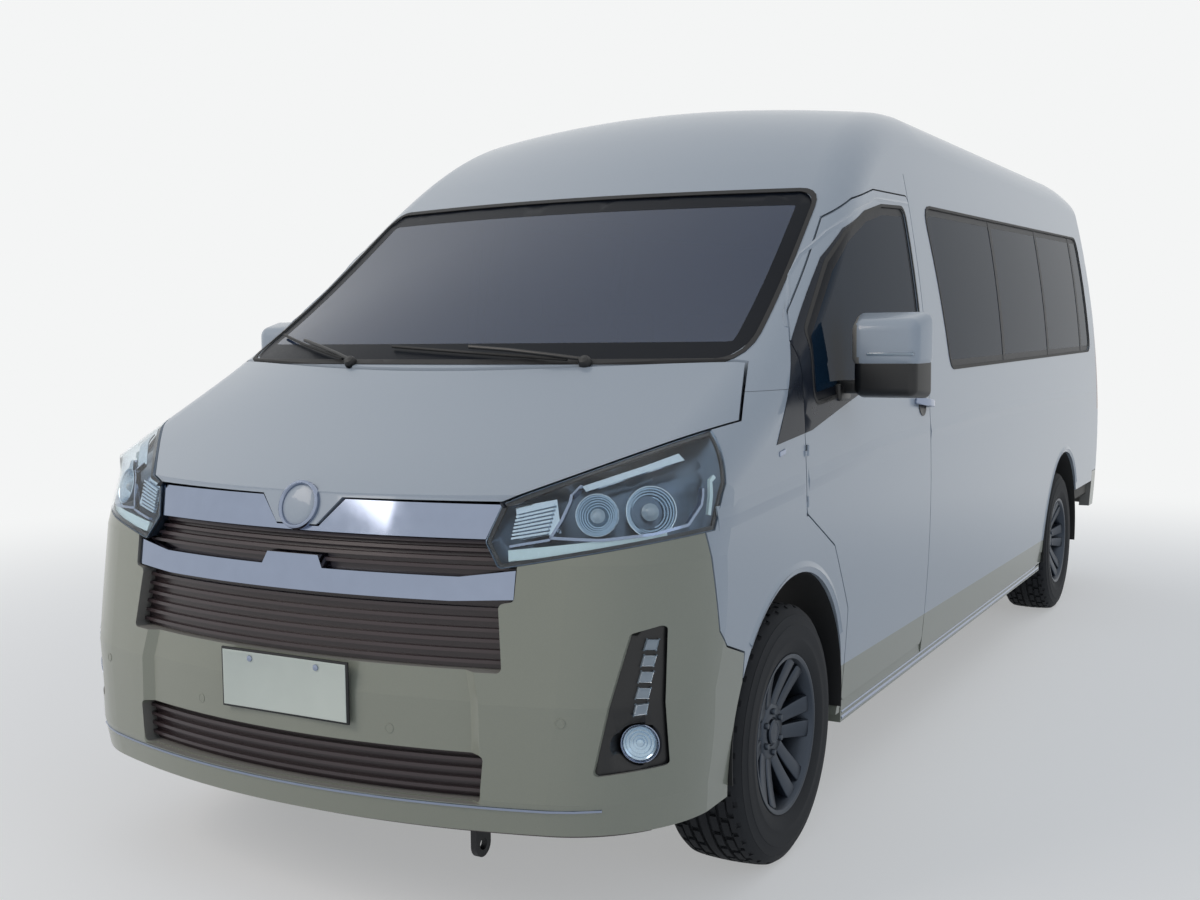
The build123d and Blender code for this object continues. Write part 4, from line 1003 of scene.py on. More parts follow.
for name, finish, slot_name, bars in LENS_BARS:
    shape = bmesh.new()
    for bar in bars:
        lens_bar(shape, *bar)
    other_hand(shape)
    piece_from(name, shape, "body", finish)

border = lamp_part("headlamps", COVER_FACING, True)
rim = set(bmesh.ops.inset_region(
    border, faces=border.faces[:], thickness=0.012, use_boundary=True, use_even_offset=True
)["faces"])
keep_faces(border, lambda face: face in rim)
thicken(border, 0.006, -0.0034)
piece_from("headlamp_borders", border, "body", lamp_black)
print("headlamp bowl seats found on the covers:", len(BOWLS))

# %% [markdown]
# ## The nose
# A plain bright ring round a plain disc sits on the bonnet's tab. The number
# plate is blank, with a raised border and two bolts. Small parking sensors and
# a bright lip along the lower bumper are separate thin pieces that follow the
# nose.

# %% Ring, plate, sensors and lip
nose_tree = tree_of(["front_bumper", "bonnet", "grille", "grille_chrome"])


def on_nose(x, z):
    """The nose's outermost point at a place in front view, and its slope"""
    return meet(nose_tree, (x, -3.4, z), (0, 1, 0))


RING_PROFILE = [
    (0.001, 0.062), (0.007, 0.0605), (0.0095, 0.057), (0.0095, 0.054), (0.006, 0.051),
    (0.0015, 0.050), (0.0015, 0.0005), (-0.006, 0.0005), (-0.006, 0.062),
]
DISC_PROFILE = [
    (0.0016, 0.050), (0.0035, 0.046), (0.0055, 0.034), (0.0065, 0.018), (0.0068, 0.0005),
    (0.0012, 0.0005), (0.0012, 0.050),
]
RING_PLACE = (0.0, 1.030)
spot, slope = on_nose(*RING_PLACE)
ring = bmesh.new()
lathe(ring, RING_PROFILE, spot, slope, 64)
piece_from("plain_ring", ring, "bonnet", chrome)
disc = bmesh.new()
lathe(disc, DISC_PROFILE, spot, slope, 64)
piece_from("plain_disc", disc, "bonnet", bonnet_paint)

PLATE_SIZE = (0.390, 0.140)
PLATE_Z = 0.596
HOLDER_MARGIN = 0.006
PLATE_GAP = 0.0002
BOLT_PROFILE = [(0, 0.008), (0.0018, 0.0075), (0.0028, 0.004), (0.003, 0.0005), (0, 0.0005)]


def slab(way, middle_z, near_y, depth, margin, bevel, segments=2):
    """A thin box of the plate's size and a margin, standing out from a height in Y"""
    across, up_half = PLATE_SIZE[0] / 2 + margin, PLATE_SIZE[1] / 2 + margin
    low_y, high_y = sorted((near_y, near_y + way * depth))
    shape = bmesh.new()
    box_piece(
        shape, (-across, low_y, middle_z - up_half), (across, high_y, middle_z + up_half),
        bevel, segments,
    )
    return shape


def blank_sign(name, middle_z, ahead_y, body):
    """A blank pressed plate with a raised border, in a black holder with two bolts"""
    way = -1 if ahead_y < 0 else 1
    holder = slab(way, middle_z, ahead_y, 0.006, HOLDER_MARGIN, 0.0025)
    piece_from(f"{name}_holder", holder, body, black_plastic)
    face_y = ahead_y + way * (0.006 + PLATE_GAP)
    plate = slab(way, middle_z, face_y, 0.0016, 0.0, 0.0005, 1)
    front_faces = [face for face in plate.faces if face.normal.y * way > 0.9]
    bmesh.ops.inset_region(plate, faces=front_faces, thickness=0.006, depth=0.0)
    front_faces = [
        face for face in plate.faces if face.normal.y * way > 0.9 and face.calc_area() > 0.02
    ]
    bmesh.ops.inset_region(plate, faces=front_faces, thickness=0.002, depth=-0.0008)
    piece_from(name, plate, body, blank_plate)
    bolts = bmesh.new()
    for x in (-0.105, 0.105):
        seat = Vector((x, face_y + way * 0.0016, middle_z + PLATE_SIZE[1] / 2 - 0.016))
        lathe(bolts, BOLT_PROFILE, seat, (0, way, 0), 20)
    piece_from(f"{name}_bolts", bolts, body, chrome)


def plate_corners(find, middle_z):
    """How far along the bus a skin lies behind a plate's corners and middle"""
    return [find(x, middle_z + z)[0].y for x in (-0.19, 0, 0.19) for z in (-0.06, 0.06)]


plate_y = min(plate_corners(on_nose, PLATE_Z))
blank_sign("front_plate", PLATE_Z, plate_y - 0.001, "body")

sensors = bmesh.new()
for x, z in ((0.721, 0.565), (0.300, 0.520)):
    spot, slope = on_nose(x, z)
    lathe(
        sensors,
        [(0.0002, 0.012), (0.0012, 0.0115), (0.0014, 0.010), (0.0006, 0.0095), (0.0009, 0.0005),
         (-0.004, 0.0005), (-0.004, 0.012)],
        spot, slope, 24,
    )
other_hand(sensors)
piece_from("parking_sensors", sensors, "body", champagne_paint)


LIP_LINE = [(-0.800, 0.360), (-0.690, 0.3585), (0.690, 0.3585), (0.800, 0.360)]
LIP_WIDTH = 0.007
LIP_DEPTH = 0.004
LIP_LIFT = 0.003


def lip_section(spot, slope, across):
    """The lip's four corners, its outer face a little narrower than its back"""
    side = across * (LIP_WIDTH / 2)
    top = spot + slope * LIP_LIFT
    back = spot - slope * LIP_DEPTH
    return top + side * 0.8, top - side * 0.8, back - side, back + side


lip = bmesh.new()
lay_bar(lip, on_nose, LIP_LINE, lip_section, 2, 0.04)
piece_from("bumper_bright_lip", lip, "body", chrome)

# %% [markdown]
# The fog lamps sit in tall black bezels. Each has a clear domed lens over a
# bright bowl, a thin ring round it, and five slanting lens blocks above it.

# %% Fog lamps
FOG_LAMP = (0.866, 0.507)
FOG_REACH = 0.050
FOG_FRONT_Y = -2.7125
FOG_BOWL = [
    (0.006, 0.0455), (0.0075, 0.044), (0.006, 0.0425), (0.001, 0.040), (-0.001, 0.039),
    (-0.001, 0.046), (0.001, 0.0465),
]
FOG_DOME = [
    (0.0012, 0.0425), (0.006, 0.040), (0.0105, 0.030), (0.0128, 0.016), (0.0135, 0.0005),
    (0.0005, 0.0005), (0.0005, 0.0425),
]
FOG_INNER = [
    (0.0008, 0.039), (-0.003, 0.033), (-0.0005, 0.032), (-0.004, 0.025), (-0.0015, 0.024),
    (-0.005, 0.016), (-0.0025, 0.015), (-0.004, 0.010), (0.000, 0.008), (0.0005, 0.0005),
    (-0.008, 0.0005), (-0.008, 0.016), (-0.003, 0.039),
]


def on_bezel(face):
    """Whether a face of the CAD fog lamp belongs to its bezel, not to its disc"""
    middle = face.calc_center_median()
    return (
        math.dist((abs(middle.x), middle.z), FOG_LAMP) > FOG_REACH or middle.y > FOG_FRONT_Y
    )


bezels = cad_copy("fog_lamps")
keep_faces(bezels, on_bezel)
fog_tree = BVHTree.FromBMesh(bezels)
piece = piece_from("fog_lamp_bezels", bezels, "body", satin_black)
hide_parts("fog_lamps")
_, fog_slope = meet(fog_tree, (0.880, -3.4, 0.640), (0, 1, 0))
fog_way = (Vector((0, -1, 0)) + fog_slope * 0.7).normalized()
fog_seat = Vector((FOG_LAMP[0] - 0.004, -2.7160, FOG_LAMP[1]))
for name, profile, finish, slot_name in (
    ("fog_lamp_rings", FOG_BOWL, chrome, "chrome_trim"),
    ("fog_lamp_domes", FOG_DOME, clear_lens, "lamp_lens"),
    ("fog_lamp_mirrors", FOG_INNER, lamp_silver, "chrome_trim"),
):
    shape = bmesh.new()
    lathe(shape, profile, fog_seat, fog_way, 48)
    other_hand(shape)
    piece_from(name, shape, "body", finish)

BLOCK_COUNT = 5
BLOCK_START = (0.868, 0.590)
BLOCK_STEP = (0.003, 0.036)
blocks = bmesh.new()
for number in range(BLOCK_COUNT):
    x = BLOCK_START[0] + number * BLOCK_STEP[0]
    z = BLOCK_START[1] + number * BLOCK_STEP[1]
    place, normal = meet(fog_tree, (x, -3.4, z), (0, 1, 0))
    across_way = (Vector((1, 0, 0)) - normal * normal.x).normalized()
    up_way = normal.cross(across_way).normalized()
    if up_way.z < 0:
        up_way = -up_way
    verts = bmesh.ops.create_cube(blocks, size=1.0)["verts"]
    for vert in verts:
        vert.co = (
            place + across_way * (vert.co.x * 0.030 + vert.co.z * 0.006)
            + up_way * (vert.co.z * 0.024) + normal * (vert.co.y * 0.010)
        )
    round_edges(blocks, edges_at(verts), 0.003, 2)
bmesh.ops.recalc_face_normals(blocks, faces=blocks.faces)
other_hand(blocks)
piece_from("running_light_blocks", blocks, "body", lamp_glass)
print("front plate at y", round(plate_y, 3))

# %% [markdown]
# ## Glass edges, seals and the black corner
# Every pane has a black printed band round its edge, which hides the glue, and
# the opening round it carries a thin rubber seal. Ahead of the door glass a
# black triangle fills the corner up to the pillar. It is split where the door
# opens, so that half of it swings with the door.

# %% Outlines of the openings
GLASS = {
    "door": [(-1.845, 1.245), (-1.845, 1.440), (-1.584, 1.643), (-1.420, 1.735),
             (-1.210, 1.810), (-1.020, 1.845), (-0.760, 1.858), (-0.740, 1.330)],
    "side": [(-0.505, 1.882), (-0.395, 1.405), (-0.370, 1.305), (2.640, 1.322), (2.600, 1.935)],
    "slide": [(-0.505, 1.882), (-0.395, 1.405), (-0.370, 1.305), (0.455, 1.309), (0.455, 1.898)],
    "right": [(0.590, 1.900), (0.590, 1.310), (2.640, 1.322), (2.600, 1.935)],
    "screen": [(0.855, 1.372), (0.797, 1.872), (-0.797, 1.872), (-0.855, 1.372)],
    "tail": [(-0.690, 1.950), (0.690, 1.950), (0.735, 1.330), (-0.735, 1.330)],
}
CORNER_ROUND = {"door": 0.040, "side": 0.070, "slide": 0.060, "right": 0.060,
                "screen": 0.060, "tail": 0.070}


def corners_of(outline):
    """Each corner of an outline, with the ones before and after it"""
    return zip(outline[-1:] + outline[:-1], outline, outline[1:] + outline[:1])


def grown(outline, distance):
    """An outline moved outwards by a distance, with mitred corners"""
    area = sum(a[0] * b[1] - b[0] * a[1] for a, b in zip(outline, outline[1:] + outline[:1]))
    way = 1 if area > 0 else -1
    moved = []
    for before, here, after in corners_of(outline):
        first = Vector((here[0] - before[0], here[1] - before[1])).normalized()
        second = Vector((after[0] - here[0], after[1] - here[1])).normalized()
        out = (Vector((first.y + second.y, -first.x - second.x)) * way).normalized()
        share = out.dot(Vector((first.y, -first.x)) * way)
        moved.append((here[0] + out.x * distance / share, here[1] + out.y * distance / share))
    return moved


def rounded(outline, radius, steps=5):
    """An outline with its corners turned into short arcs"""
    rounds = []
    for before, here, after in corners_of(outline):
        corner = Vector(here)
        first = Vector(before) - corner
        second = Vector(after) - corner
        half = first.angle(second) / 2
        reach = min(radius / math.tan(half), first.length * 0.45, second.length * 0.45)
        start = corner + first.normalized() * reach
        end = corner + second.normalized() * reach
        for step in range(steps + 1):
            share = step / steps
            place = start * (1 - share) ** 2 + corner * 2 * share * (1 - share) + end * share**2
            rounds.append((place.x, place.y))
    return rounds


def band(names, outline, view, outer, inner, hand):
    """The part of a skin between two moved copies of an outline"""
    shape = skin_of(names, grown(outline, outer), view, hand)
    hollow = grown(outline, inner)
    cut_along(shape, hollow, view)
    keep_faces(shape, lambda face: not inside(seen_at(face, view), hollow))
    return shape


# %% Printed bands and seals
# Each pane: its outline, its tag, glass, panels, body, side and the widths of
# its printed band and its seal. The two end panes have no side.
PANES = [
    ("side", "side_left", "side_glass", ["body_side_left"], "body", 1, 0.026, 0.010),
    ("slide", "slide_right", "side_glass", ["sliding_door"], "body", -1, 0.026, 0.010),
    ("right", "right_right", "side_glass", ["body_side_right"], "body", -1, 0.026, 0.010),
    ("door", "door_left", "door_glass_left", ["front_door_left"], "door_left", 1, 0.026, 0.010),
    ("door", "door_right", "door_glass_right", ["front_door_right"], "door_right", -1, 0.026,
     0.010),
    ("screen", "screen", "windscreen", ["front_frame", "roof_panel"], "body", None, 0.045, 0.012),
    ("tail", "tail", "tailgate_glass", ["tailgate"], "tailgate", None, 0.040, 0.012),
]
for kind, tag, glass_node, panels, body, hand, band_width, seal_width in PANES:
    view = "side" if hand else "front"
    outline = rounded(GLASS[kind], CORNER_ROUND[kind])
    printed = band([glass_node], outline, view, 0.002, -band_width, hand)
    thicken(printed, 0.0006, 0.0004)
    piece_from(f"printed_band_{tag}", printed, body, ceramic_black)
    seal = band(panels, outline, view, seal_width, -0.001, hand)
    if not hand:
        keep_faces(seal, lambda face: (face.calc_center_median().y < 0) == (kind == "screen"))
    thicken(seal, 0.003, 0.0022)
    piece_from(f"glass_seal_{tag}", seal, body, seal_rubber)

DIVIDERS = {1: (0.520, 1.480, 2.379), -1: (1.480, 2.379)}
DIVIDER_HALF = 0.022
for hand, side in SIDES:
    bars = bmesh.new()
    for y in DIVIDERS[hand]:
        near, far = y - DIVIDER_HALF, y + DIVIDER_HALF
        corners = [(near, 1.31), (far, 1.31), (far, 1.93), (near, 1.93)]
        part = skin_of(["side_glass"], corners, "side", hand)
        thicken(part, 0.0025, 0.0015)
        join(bars, part)
    piece_from(f"glass_dividers_{side}", bars, "body", ceramic_black)

CORNER_TRIANGLE = [
    (-2.143, 1.151), (-1.880, 1.172), (-1.595, 1.227), (-1.403, 1.262), (-0.742, 1.316),
    (-0.742, 1.345), (-1.820, 1.262), (-1.835, 1.440), (-1.574, 1.632), (-1.410, 1.722),
    (-1.200, 1.797), (-1.190, 1.824), (-1.425, 1.752), (-1.597, 1.658), (-1.800, 1.510),
    (-1.935, 1.410),
]
body_corner = skin_of(["front_frame", "front_wings"], CORNER_TRIANGLE, "side", 1, 0.2)
thicken(body_corner, 0.003, 0.0015)
other_hand(body_corner)
piece_from("corner_trim_on_body", body_corner, "body", gloss_black)
for hand, side in SIDES:
    door_corner = skin_of([f"front_door_{side}"], CORNER_TRIANGLE, "side", hand, 0.2)
    thicken(door_corner, 0.003, 0.0015)
    piece = piece_from(f"corner_trim_on_door_{side}", door_corner, f"door_{side}", gloss_black)

# %% [markdown]
# ## Lines along the sides
# The body sides are pressed with a sharp crease below the windows and a raised
# lip round each wheel arch. Both are low ridges here: a row of points is found
# on the panel with rays, and a shallow roof-shaped section is laid along it.
# Each ridge stops at the panel gaps, so the doors keep their own piece.

# %% Ridges along the sides
side_tree = tree_of([
    "body_side_left", "front_wings", "front_door_left", "front_frame", "sill_covers",
    "front_bumper",
])


def on_side(y, z):
    """The left side's outermost point at a place in side view, and its slope"""
    found = meet(side_tree, (1.4, y, z), (-1, 0, 0))
    return found if found and found[0].x >= 0.6 else None


def side_ridge(shape, places, width, height, sunk=0.004):
    """A low ridge along places in side view, stopping where the panel stops"""

    def section(spot, slope, across):
        side = across * -width
        shoulder = spot + slope * height * 0.7
        return (
            spot + side * 0.5, shoulder + side * 0.06, spot + slope * height,
            shoulder - side * 0.06, spot - side * 0.5, spot - side * 0.5 - slope * sunk,
            spot + side * 0.5 - slope * sunk,
        )

    lay_bar(shape, on_side, places, section, 1, 0.05)


BELT_LINE = [
    (-2.545, 1.000), (-1.946, 1.034), (-1.275, 1.079), (0.382, 1.106), (1.709, 1.095),
    (2.800, 1.080),
]
BELT_SIZE = (0.060, 0.0032)


def belt_height(y):
    """The belt line's height at a place along the bus"""
    for (ay, az), (by, bz) in zip(BELT_LINE, BELT_LINE[1:]):
        if y <= by:
            return az + (bz - az) * (y - ay) / (by - ay)
    return BELT_LINE[-1][1]


def belt_ridge(shape, *stretches):
    """Ridges along the belt line, each from one place along the bus to another"""
    for start_y, end_y in stretches:
        inner = [(y, z) for y, z in BELT_LINE if start_y < y < end_y]
        places = [(start_y, belt_height(start_y)), *inner, (end_y, belt_height(end_y))]
        side_ridge(shape, places, *BELT_SIZE)


def arc(centre, radius, start_angle, end_angle, steps=28):
    """Places along an arc in side view"""
    turns = [
        math.radians(start_angle + (end_angle - start_angle) * step / steps)
        for step in range(steps + 1)
    ]
    return [
        (centre[0] + radius * math.cos(turn), centre[1] + radius * math.sin(turn))
        for turn in turns
    ]


ARCH_MIDDLE_Z = 0.385
ARCH_LIP_SIZE = (0.030, 0.0045)
DOOR_TOP_LINE = [
    (-1.902, 1.455), (-1.686, 1.640), (-1.500, 1.738), (-1.290, 1.820), (-1.080, 1.868),
    (-0.700, 1.880),
]
ridges = bmesh.new()
belt_ridge(ridges, (-2.500, -1.948))
side_ridge(ridges, arc((1.860, ARCH_MIDDLE_Z), 0.442, 200, -24), *ARCH_LIP_SIZE)
side_ridge(ridges, arc((-2.000, ARCH_MIDDLE_Z), 0.424, 139, 24), *ARCH_LIP_SIZE)
other_hand(ridges)
piece_from("pressed_ridges", ridges, "body", pearl_paint)
left_belt = bmesh.new()
belt_ridge(left_belt, (-0.682, 2.780))
piece_from("belt_ridge_left", left_belt, "body", pearl_paint)
right_belt = bmesh.new()
belt_ridge(right_belt, (-0.682, -0.606), (-0.598, 0.523), (1.790, 2.780))
mirror(right_belt)
piece_from("belt_ridge_right", right_belt, "body", pearl_paint)
for hand, side in SIDES:
    door_line = bmesh.new()
    belt_ridge(door_line, (-1.914, -0.700))
    side_ridge(door_line, DOOR_TOP_LINE, 0.016, 0.003)
    if hand < 0:
        mirror(door_line)
    piece = piece_from(f"door_ridges_{side}", door_line, f"door_{side}", pearl_paint)

sill_strip = bmesh.new()
for z, width in ((0.274, 0.012), (0.292, 0.007)):
    side_ridge(sill_strip, [(-1.530, z), (1.410, z)], width, 0.003, 0.002)
other_hand(sill_strip)
piece_from("sill_bright_strips", sill_strip, "body", chrome)
print("ridge rows made for both sides")

# %% [markdown]
# ## Door mirrors
# Each mirror is a painted shell with a black lower part, and a foot that grows
# out of the corner trim. Its glass looks back. Both parts of the shell start as
# boxes: their front corners are drawn in to give the tapered front, and then
# all edges are bevelled in one go.

# %% Door mirrors
MIRROR_X = (0.988, 1.224)
MIRROR_Y = (-1.690, -1.562)
MIRROR_SPLIT = 1.338
MIRROR_GLASS_Y = MIRROR_Y[1] - 0.004


def mirror_shell(shape, low_z, high_z, shrink, bevel):
    """One block of the mirror's shell, tapered towards the front"""
    verts = bmesh.ops.create_cube(shape, size=1.0)["verts"]
    for vert in verts:
        front = vert.co.y < 0
        top = vert.co.z > 0
        outer = vert.co.x > 0
        x = MIRROR_X[1] - shrink if outer else MIRROR_X[0] + shrink
        y = MIRROR_Y[0] + shrink if front else MIRROR_Y[1] - shrink * 0.4
        z = high_z if top else low_z
        if front:
            x += -0.020 if outer else 0.028
            z += -0.030 if top and high_z > MIRROR_SPLIT + 0.05 else 0.0
            z += 0.012 if not top and low_z < MIRROR_SPLIT - 0.02 else 0.0
        vert.co = (x, y, z)
    round_edges(shape, edges_at(verts), bevel, 6)


for hand, side in SIDES:
    cap, base, glass, line = (bmesh.new() for _ in range(4))
    mirror_shell(cap, MIRROR_SPLIT, 1.500, 0.0, 0.030)
    mirror_shell(base, 1.247, MIRROR_SPLIT + 0.030, 0.006, 0.022)
    box_piece(base, (0.950, -1.640, 1.262), (1.030, -1.580, 1.300), 0.012, 3)
    box_piece(base, (0.940, -1.655, 1.240), (0.975, -1.560, 1.290), 0.010, 3)
    box_piece(
        glass, (1.010, MIRROR_GLASS_Y, 1.275), (1.206, MIRROR_GLASS_Y + 0.005, 1.478), 0.0015, 1
    )
    box_piece(line, (1.060, -1.6935, 1.372), (1.196, -1.680, 1.381), 0.0025, 2)
    for name, shape, finish, slot_name in (
        ("mirror_cap", cap, pearl_paint, "pearl_white"),
        ("mirror_base", base, satin_black, "black_plastic"),
        ("mirror_glass", glass, mirror_glass, "chrome_trim"),
        ("mirror_turn_light", line, lamp_glass, "lamp_lens"),
    ):
        if hand < 0:
            mirror(shape)
        piece = piece_from(f"{name}_{side}", shape, f"door_{side}", finish)
        if name == "mirror_cap":
            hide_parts(f"mirror_{side}")

# %% [markdown]
# ## Handles, wipers and small fittings
# A door handle is a bright bar on two feet over a shallow dished cup. The bar
# bows outwards a little, so it is cut into steps along its length and the
# steps are moved out along a curve before the edges are bevelled. The same
# function makes the handles of the front doors and the sliding door.

# %% Handles
CUP_PROFILE = [
    (0.0022, 0.046), (0.0030, 0.043), (0.0012, 0.036), (0.0, 0.02), (0.0, 0.0005),
    (-0.003, 0.0005), (-0.003, 0.046),
]
HANDLE_LENGTH = 0.185


def pull_handle(bar, cup, middle, lie):
    """A bowed bar and its cup on the left side, lie being the slope along it"""
    spot, slope = on_side(*middle)
    verts = bmesh.ops.create_cube(bar, size=1.0)["verts"]
    long_edges = [
        edge for edge in edges_at(verts)
        if abs(edge.verts[0].co.y - edge.verts[1].co.y) > 0.5
    ]
    bmesh.ops.subdivide_edges(bar, edges=long_edges, cuts=8, use_grid_fill=True)
    for vert in bar.verts:
        along = vert.co.y
        bow = 0.026 * (1 - (2 * along) ** 4)
        vert.co = Vector((
            spot.x + 0.004 + bow + vert.co.x * 0.012,
            middle[0] + along * HANDLE_LENGTH,
            middle[1] + along * lie + vert.co.z * (0.026 - 0.006 * abs(2 * along) ** 3),
        ))
    sharp = [
        edge for edge in bar.edges if edge.is_manifold and edge.calc_face_angle() > 0.7
    ]
    round_edges(bar, sharp, 0.004, 3)
    lathe(cup, CUP_PROFILE, spot, slope, 40)


HANDLES = [
    ("door_left", "door_left", 1, (-0.780, 1.194), -0.020),
    ("door_right", "door_right", -1, (-0.780, 1.194), -0.020),
    ("sliding_door", "body", -1, (-0.500, 1.194), -0.010),
]
for name, body, hand, middle, lie in HANDLES:
    bar = bmesh.new()
    cup = bmesh.new()
    pull_handle(bar, cup, middle, lie)
    for shape in (bar, cup):
        if hand < 0:
            bmesh.ops.scale(shape, vec=(-1, 1, 1), verts=shape.verts)
        bmesh.ops.recalc_face_normals(shape, faces=shape.faces)
    piece_from(f"handle_bar_{name}", bar, body, chrome)
    piece_from(f"handle_cup_{name}", cup, body, satin_black)

# %% Wipers and cowl
screen_tree = tree_of(["windscreen", "front_frame"])


def on_screen(place, lift):
    """A point on or above the windscreen at a place in front view"""
    spot, slope = meet(screen_tree, (place[0], -3.4, place[1]), (0, 1, 0))
    return spot + slope * lift


WIPERS = {"left": ((0.470, 1.362), (-0.190, 1.402)), "right": ((-0.300, 1.362), (-0.790, 1.440))}
PIVOT_PROFILE = [(0, 0.019), (0.012, 0.018), (0.020, 0.013), (0.022, 0.0005), (0, 0.0005)]
for side, (foot, tip) in WIPERS.items():
    arm_points = [
        on_screen(between(foot, tip, share), 0.014 + 0.016 * math.sin(math.pi * share))
        for share in (0, 0.15, 0.35, 0.55)
    ]
    hose(f"wiper_arm_{side}", arm_points, 0.0055, "body", satin_black)
    blade_points = [
        on_screen(between(foot, tip, 0.08 + 0.92 * step / 10), 0.010) for step in range(11)
    ]
    hose(f"wiper_blade_{side}", blade_points, 0.0045, "body", seal_rubber)
    pivot = bmesh.new()
    lathe(pivot, PIVOT_PROFILE, on_screen(foot, 0.0), (0, -0.7, 0.7), 24)
    piece_from(f"wiper_pivot_{side}", pivot, "body", satin_black)

# %% [markdown]
# ## The tail
# Behind the red cover of each tail lamp lies a silver tray. A clear band for
# the reversing lamp and an amber one for the turn signal lie on the cover. The
# tailgate carries a blank plate, a bright grip, a wiper and a high stop lamp,
# and the bumper has two reflectors.

# %% Tail fittings
tail_tree = tree_of(["tailgate", "rear_bumper", "tail_lamps", "tailgate_glass"])


def on_tail(x, z):
    """The tail's rearmost point at a place in rear view, and its slope"""
    return meet(tail_tree, (x, 3.4, z), (0, -1, 0))


def patch_on_tail(name, low, high, lift, thickness, body, finish, slot_name):
    """A thin piece that follows the tail, on both sides where it isn't in the middle"""
    shape = bmesh.new()
    bmesh.ops.create_grid(shape, x_segments=8, y_segments=4, size=0.5)
    for vert in shape.verts:
        x = low[0] + (high[0] - low[0]) * (vert.co.x + 0.5)
        z = low[1] + (high[1] - low[1]) * (vert.co.y + 0.5)
        spot, slope = on_tail(x, z)
        vert.co = spot + slope * lift
    bmesh.ops.recalc_face_normals(shape, faces=shape.faces)
    if sum(face.normal.y for face in shape.faces) < 0:
        bmesh.ops.reverse_faces(shape, faces=shape.faces)
    thicken(shape, thickness)
    if low[0] > 0:
        other_hand(shape)
    piece_from(name, shape, body, finish)


TAIL_COVER_FACING = 0.3
tail_cover = lamp_part("tail_lamps", TAIL_COVER_FACING, True)
thicken(tail_cover, 0.004)
piece = piece_from("tail_lamp_covers", tail_cover, "body", red_lens)
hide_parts("tail_lamps")
tail_tray = lamp_part("tail_lamps", TAIL_COVER_FACING, False)
thicken(tail_tray, TRAY_THICKNESS, TRAY_LIFT)
piece_from("tail_lamp_trays", tail_tray, "body", lamp_silver)
# Each patch: lowest and highest place in rear view, lift, thickness, body and looks
PATCHES = [
    ("tail_reversing_bands", (0.836, 1.235), (0.925, 1.300), 0.0012, 0.003, "body",
     lamp_glass, "lamp_lens"),
    ("tail_turn_bands", (0.836, 1.130), (0.925, 1.225), 0.0012, 0.003, "body",
     amber_lens, "red_lens"),
    ("rear_reflectors", (0.640, 0.500), (0.800, 0.535), 0.002, 0.006, "body",
     red_lens, "red_lens"),
    ("tailgate_grip", (-0.330, 1.115), (0.330, 1.165), 0.004, 0.010, "tailgate",
     chrome, "chrome_trim"),
    ("tailgate_plate_recess", (-0.260, 0.900), (0.260, 1.080), 0.0012, 0.004, "tailgate",
     satin_black, "black_plastic"),
    ("high_stop_lamp", (-0.170, 2.020), (0.170, 2.048), 0.004, 0.008, "tailgate",
     red_lens, "red_lens"),
]
for patch in PATCHES:
    patch_on_tail(*patch)
REAR_PLATE_Z = 0.990
rear_y = max(plate_corners(on_tail, REAR_PLATE_Z))
blank_sign("rear_plate", REAR_PLATE_Z, rear_y - 0.0055, "tailgate")
wiper_points = [
    on_tail(x, z)[0] + on_tail(x, z)[1] * lift
    for x, z, lift in ((0.02, 1.345, 0.012), (0.10, 1.400, 0.020), (0.24, 1.430, 0.016))
]
hose("rear_wiper_arm", wiper_points, 0.005, "tailgate", satin_black)
blade_points = [
    on_tail(x, 1.345 + 0.26 * x)[0] + Vector((0, 0.009, 0))
    for x in [0.03 + 0.45 * step / 10 for step in range(11)]
]
hose("rear_wiper_blade", blade_points, 0.004, "tailgate", seal_rubber)
print("rear plate at y", round(rear_y, 3))

# %% [markdown]
# ## Seats
# Each seat is a sewn cushion, back and headrest on a steel frame. A pad starts
# as a block a little smaller than the real one, is remeshed evenly, and is
# swollen by cloth pressure. Along its seams the swelling is held back, so the
# panels crown between the seams as stuffed fabric does. Each pad is worked out
# once and set down in every seat of its size.


# %% Fabric and seat helpers
def woven(name, base, thread):
    """Upholstery cloth: crossing threads, with pilling and faint soiling"""
    material, tree, shader = finish_named(name, base, Roughness=0.9, Sheen_Weight=0.3)
    place = node(tree, "TexCoord")["Object"]
    threads = [
        node(
            tree, "TexWave",
            {"Scale": 1 / thread, "Distortion": 0.6, "Detail": 1.0, "Vector": place},
            bands_direction=way,
        )["Fac"]
        for way in ("X", "Y", "Z")
    ]
    crossed = node(tree, "Math", {0: threads[1], 1: threads[2]}, operation="ADD")[0]
    crossed = node(tree, "Math", {0: crossed, 1: threads[0]}, operation="MULTIPLY")[0]
    weave = node(tree, "Bump", {"Strength": 0.4, "Distance": thread / 3, "Height": crossed})[0]
    shade = ranged(tree, noise(tree, 9.0, 3.0), 0.82, 1.12)
    flecks = node(tree, "Math", {0: crossed, 1: 0.12, 2: 0.9}, operation="MULTIPLY_ADD")[0]
    whole = node(tree, "Math", {0: shade, 1: flecks}, operation="MULTIPLY")[0]
    tree.links.new(weave, shader.inputs["Normal"])
    tree.links.new(scaled(tree, colour(base)[:3], whole), shader.inputs["Base Color"])
    return material


bolster_cloth = woven("dark_grey_upholstery_cloth", "#3f4148", 0.0024)
insert_cloth = woven("blue_grey_insert_cloth", "#565c68", 0.0032)


def block(profile, width, bevel, segments=3):
    """A closed block with a side profile, centred on x = 0, its edges rounded"""
    shape = bmesh.new()
    bridge(shape, [[(x, y, z) for y, z in profile] for x in (-width / 2, width / 2)])
    round_edges(shape, shape.edges[:], bevel, segments)
    return shape


def applied(holder):
    """The mesh that an object has once its modifiers are worked in"""
    bpy.context.view_layer.update()
    graph = bpy.context.evaluated_depsgraph_get()
    return bpy.data.meshes.new_from_object(holder.evaluated_get(graph))


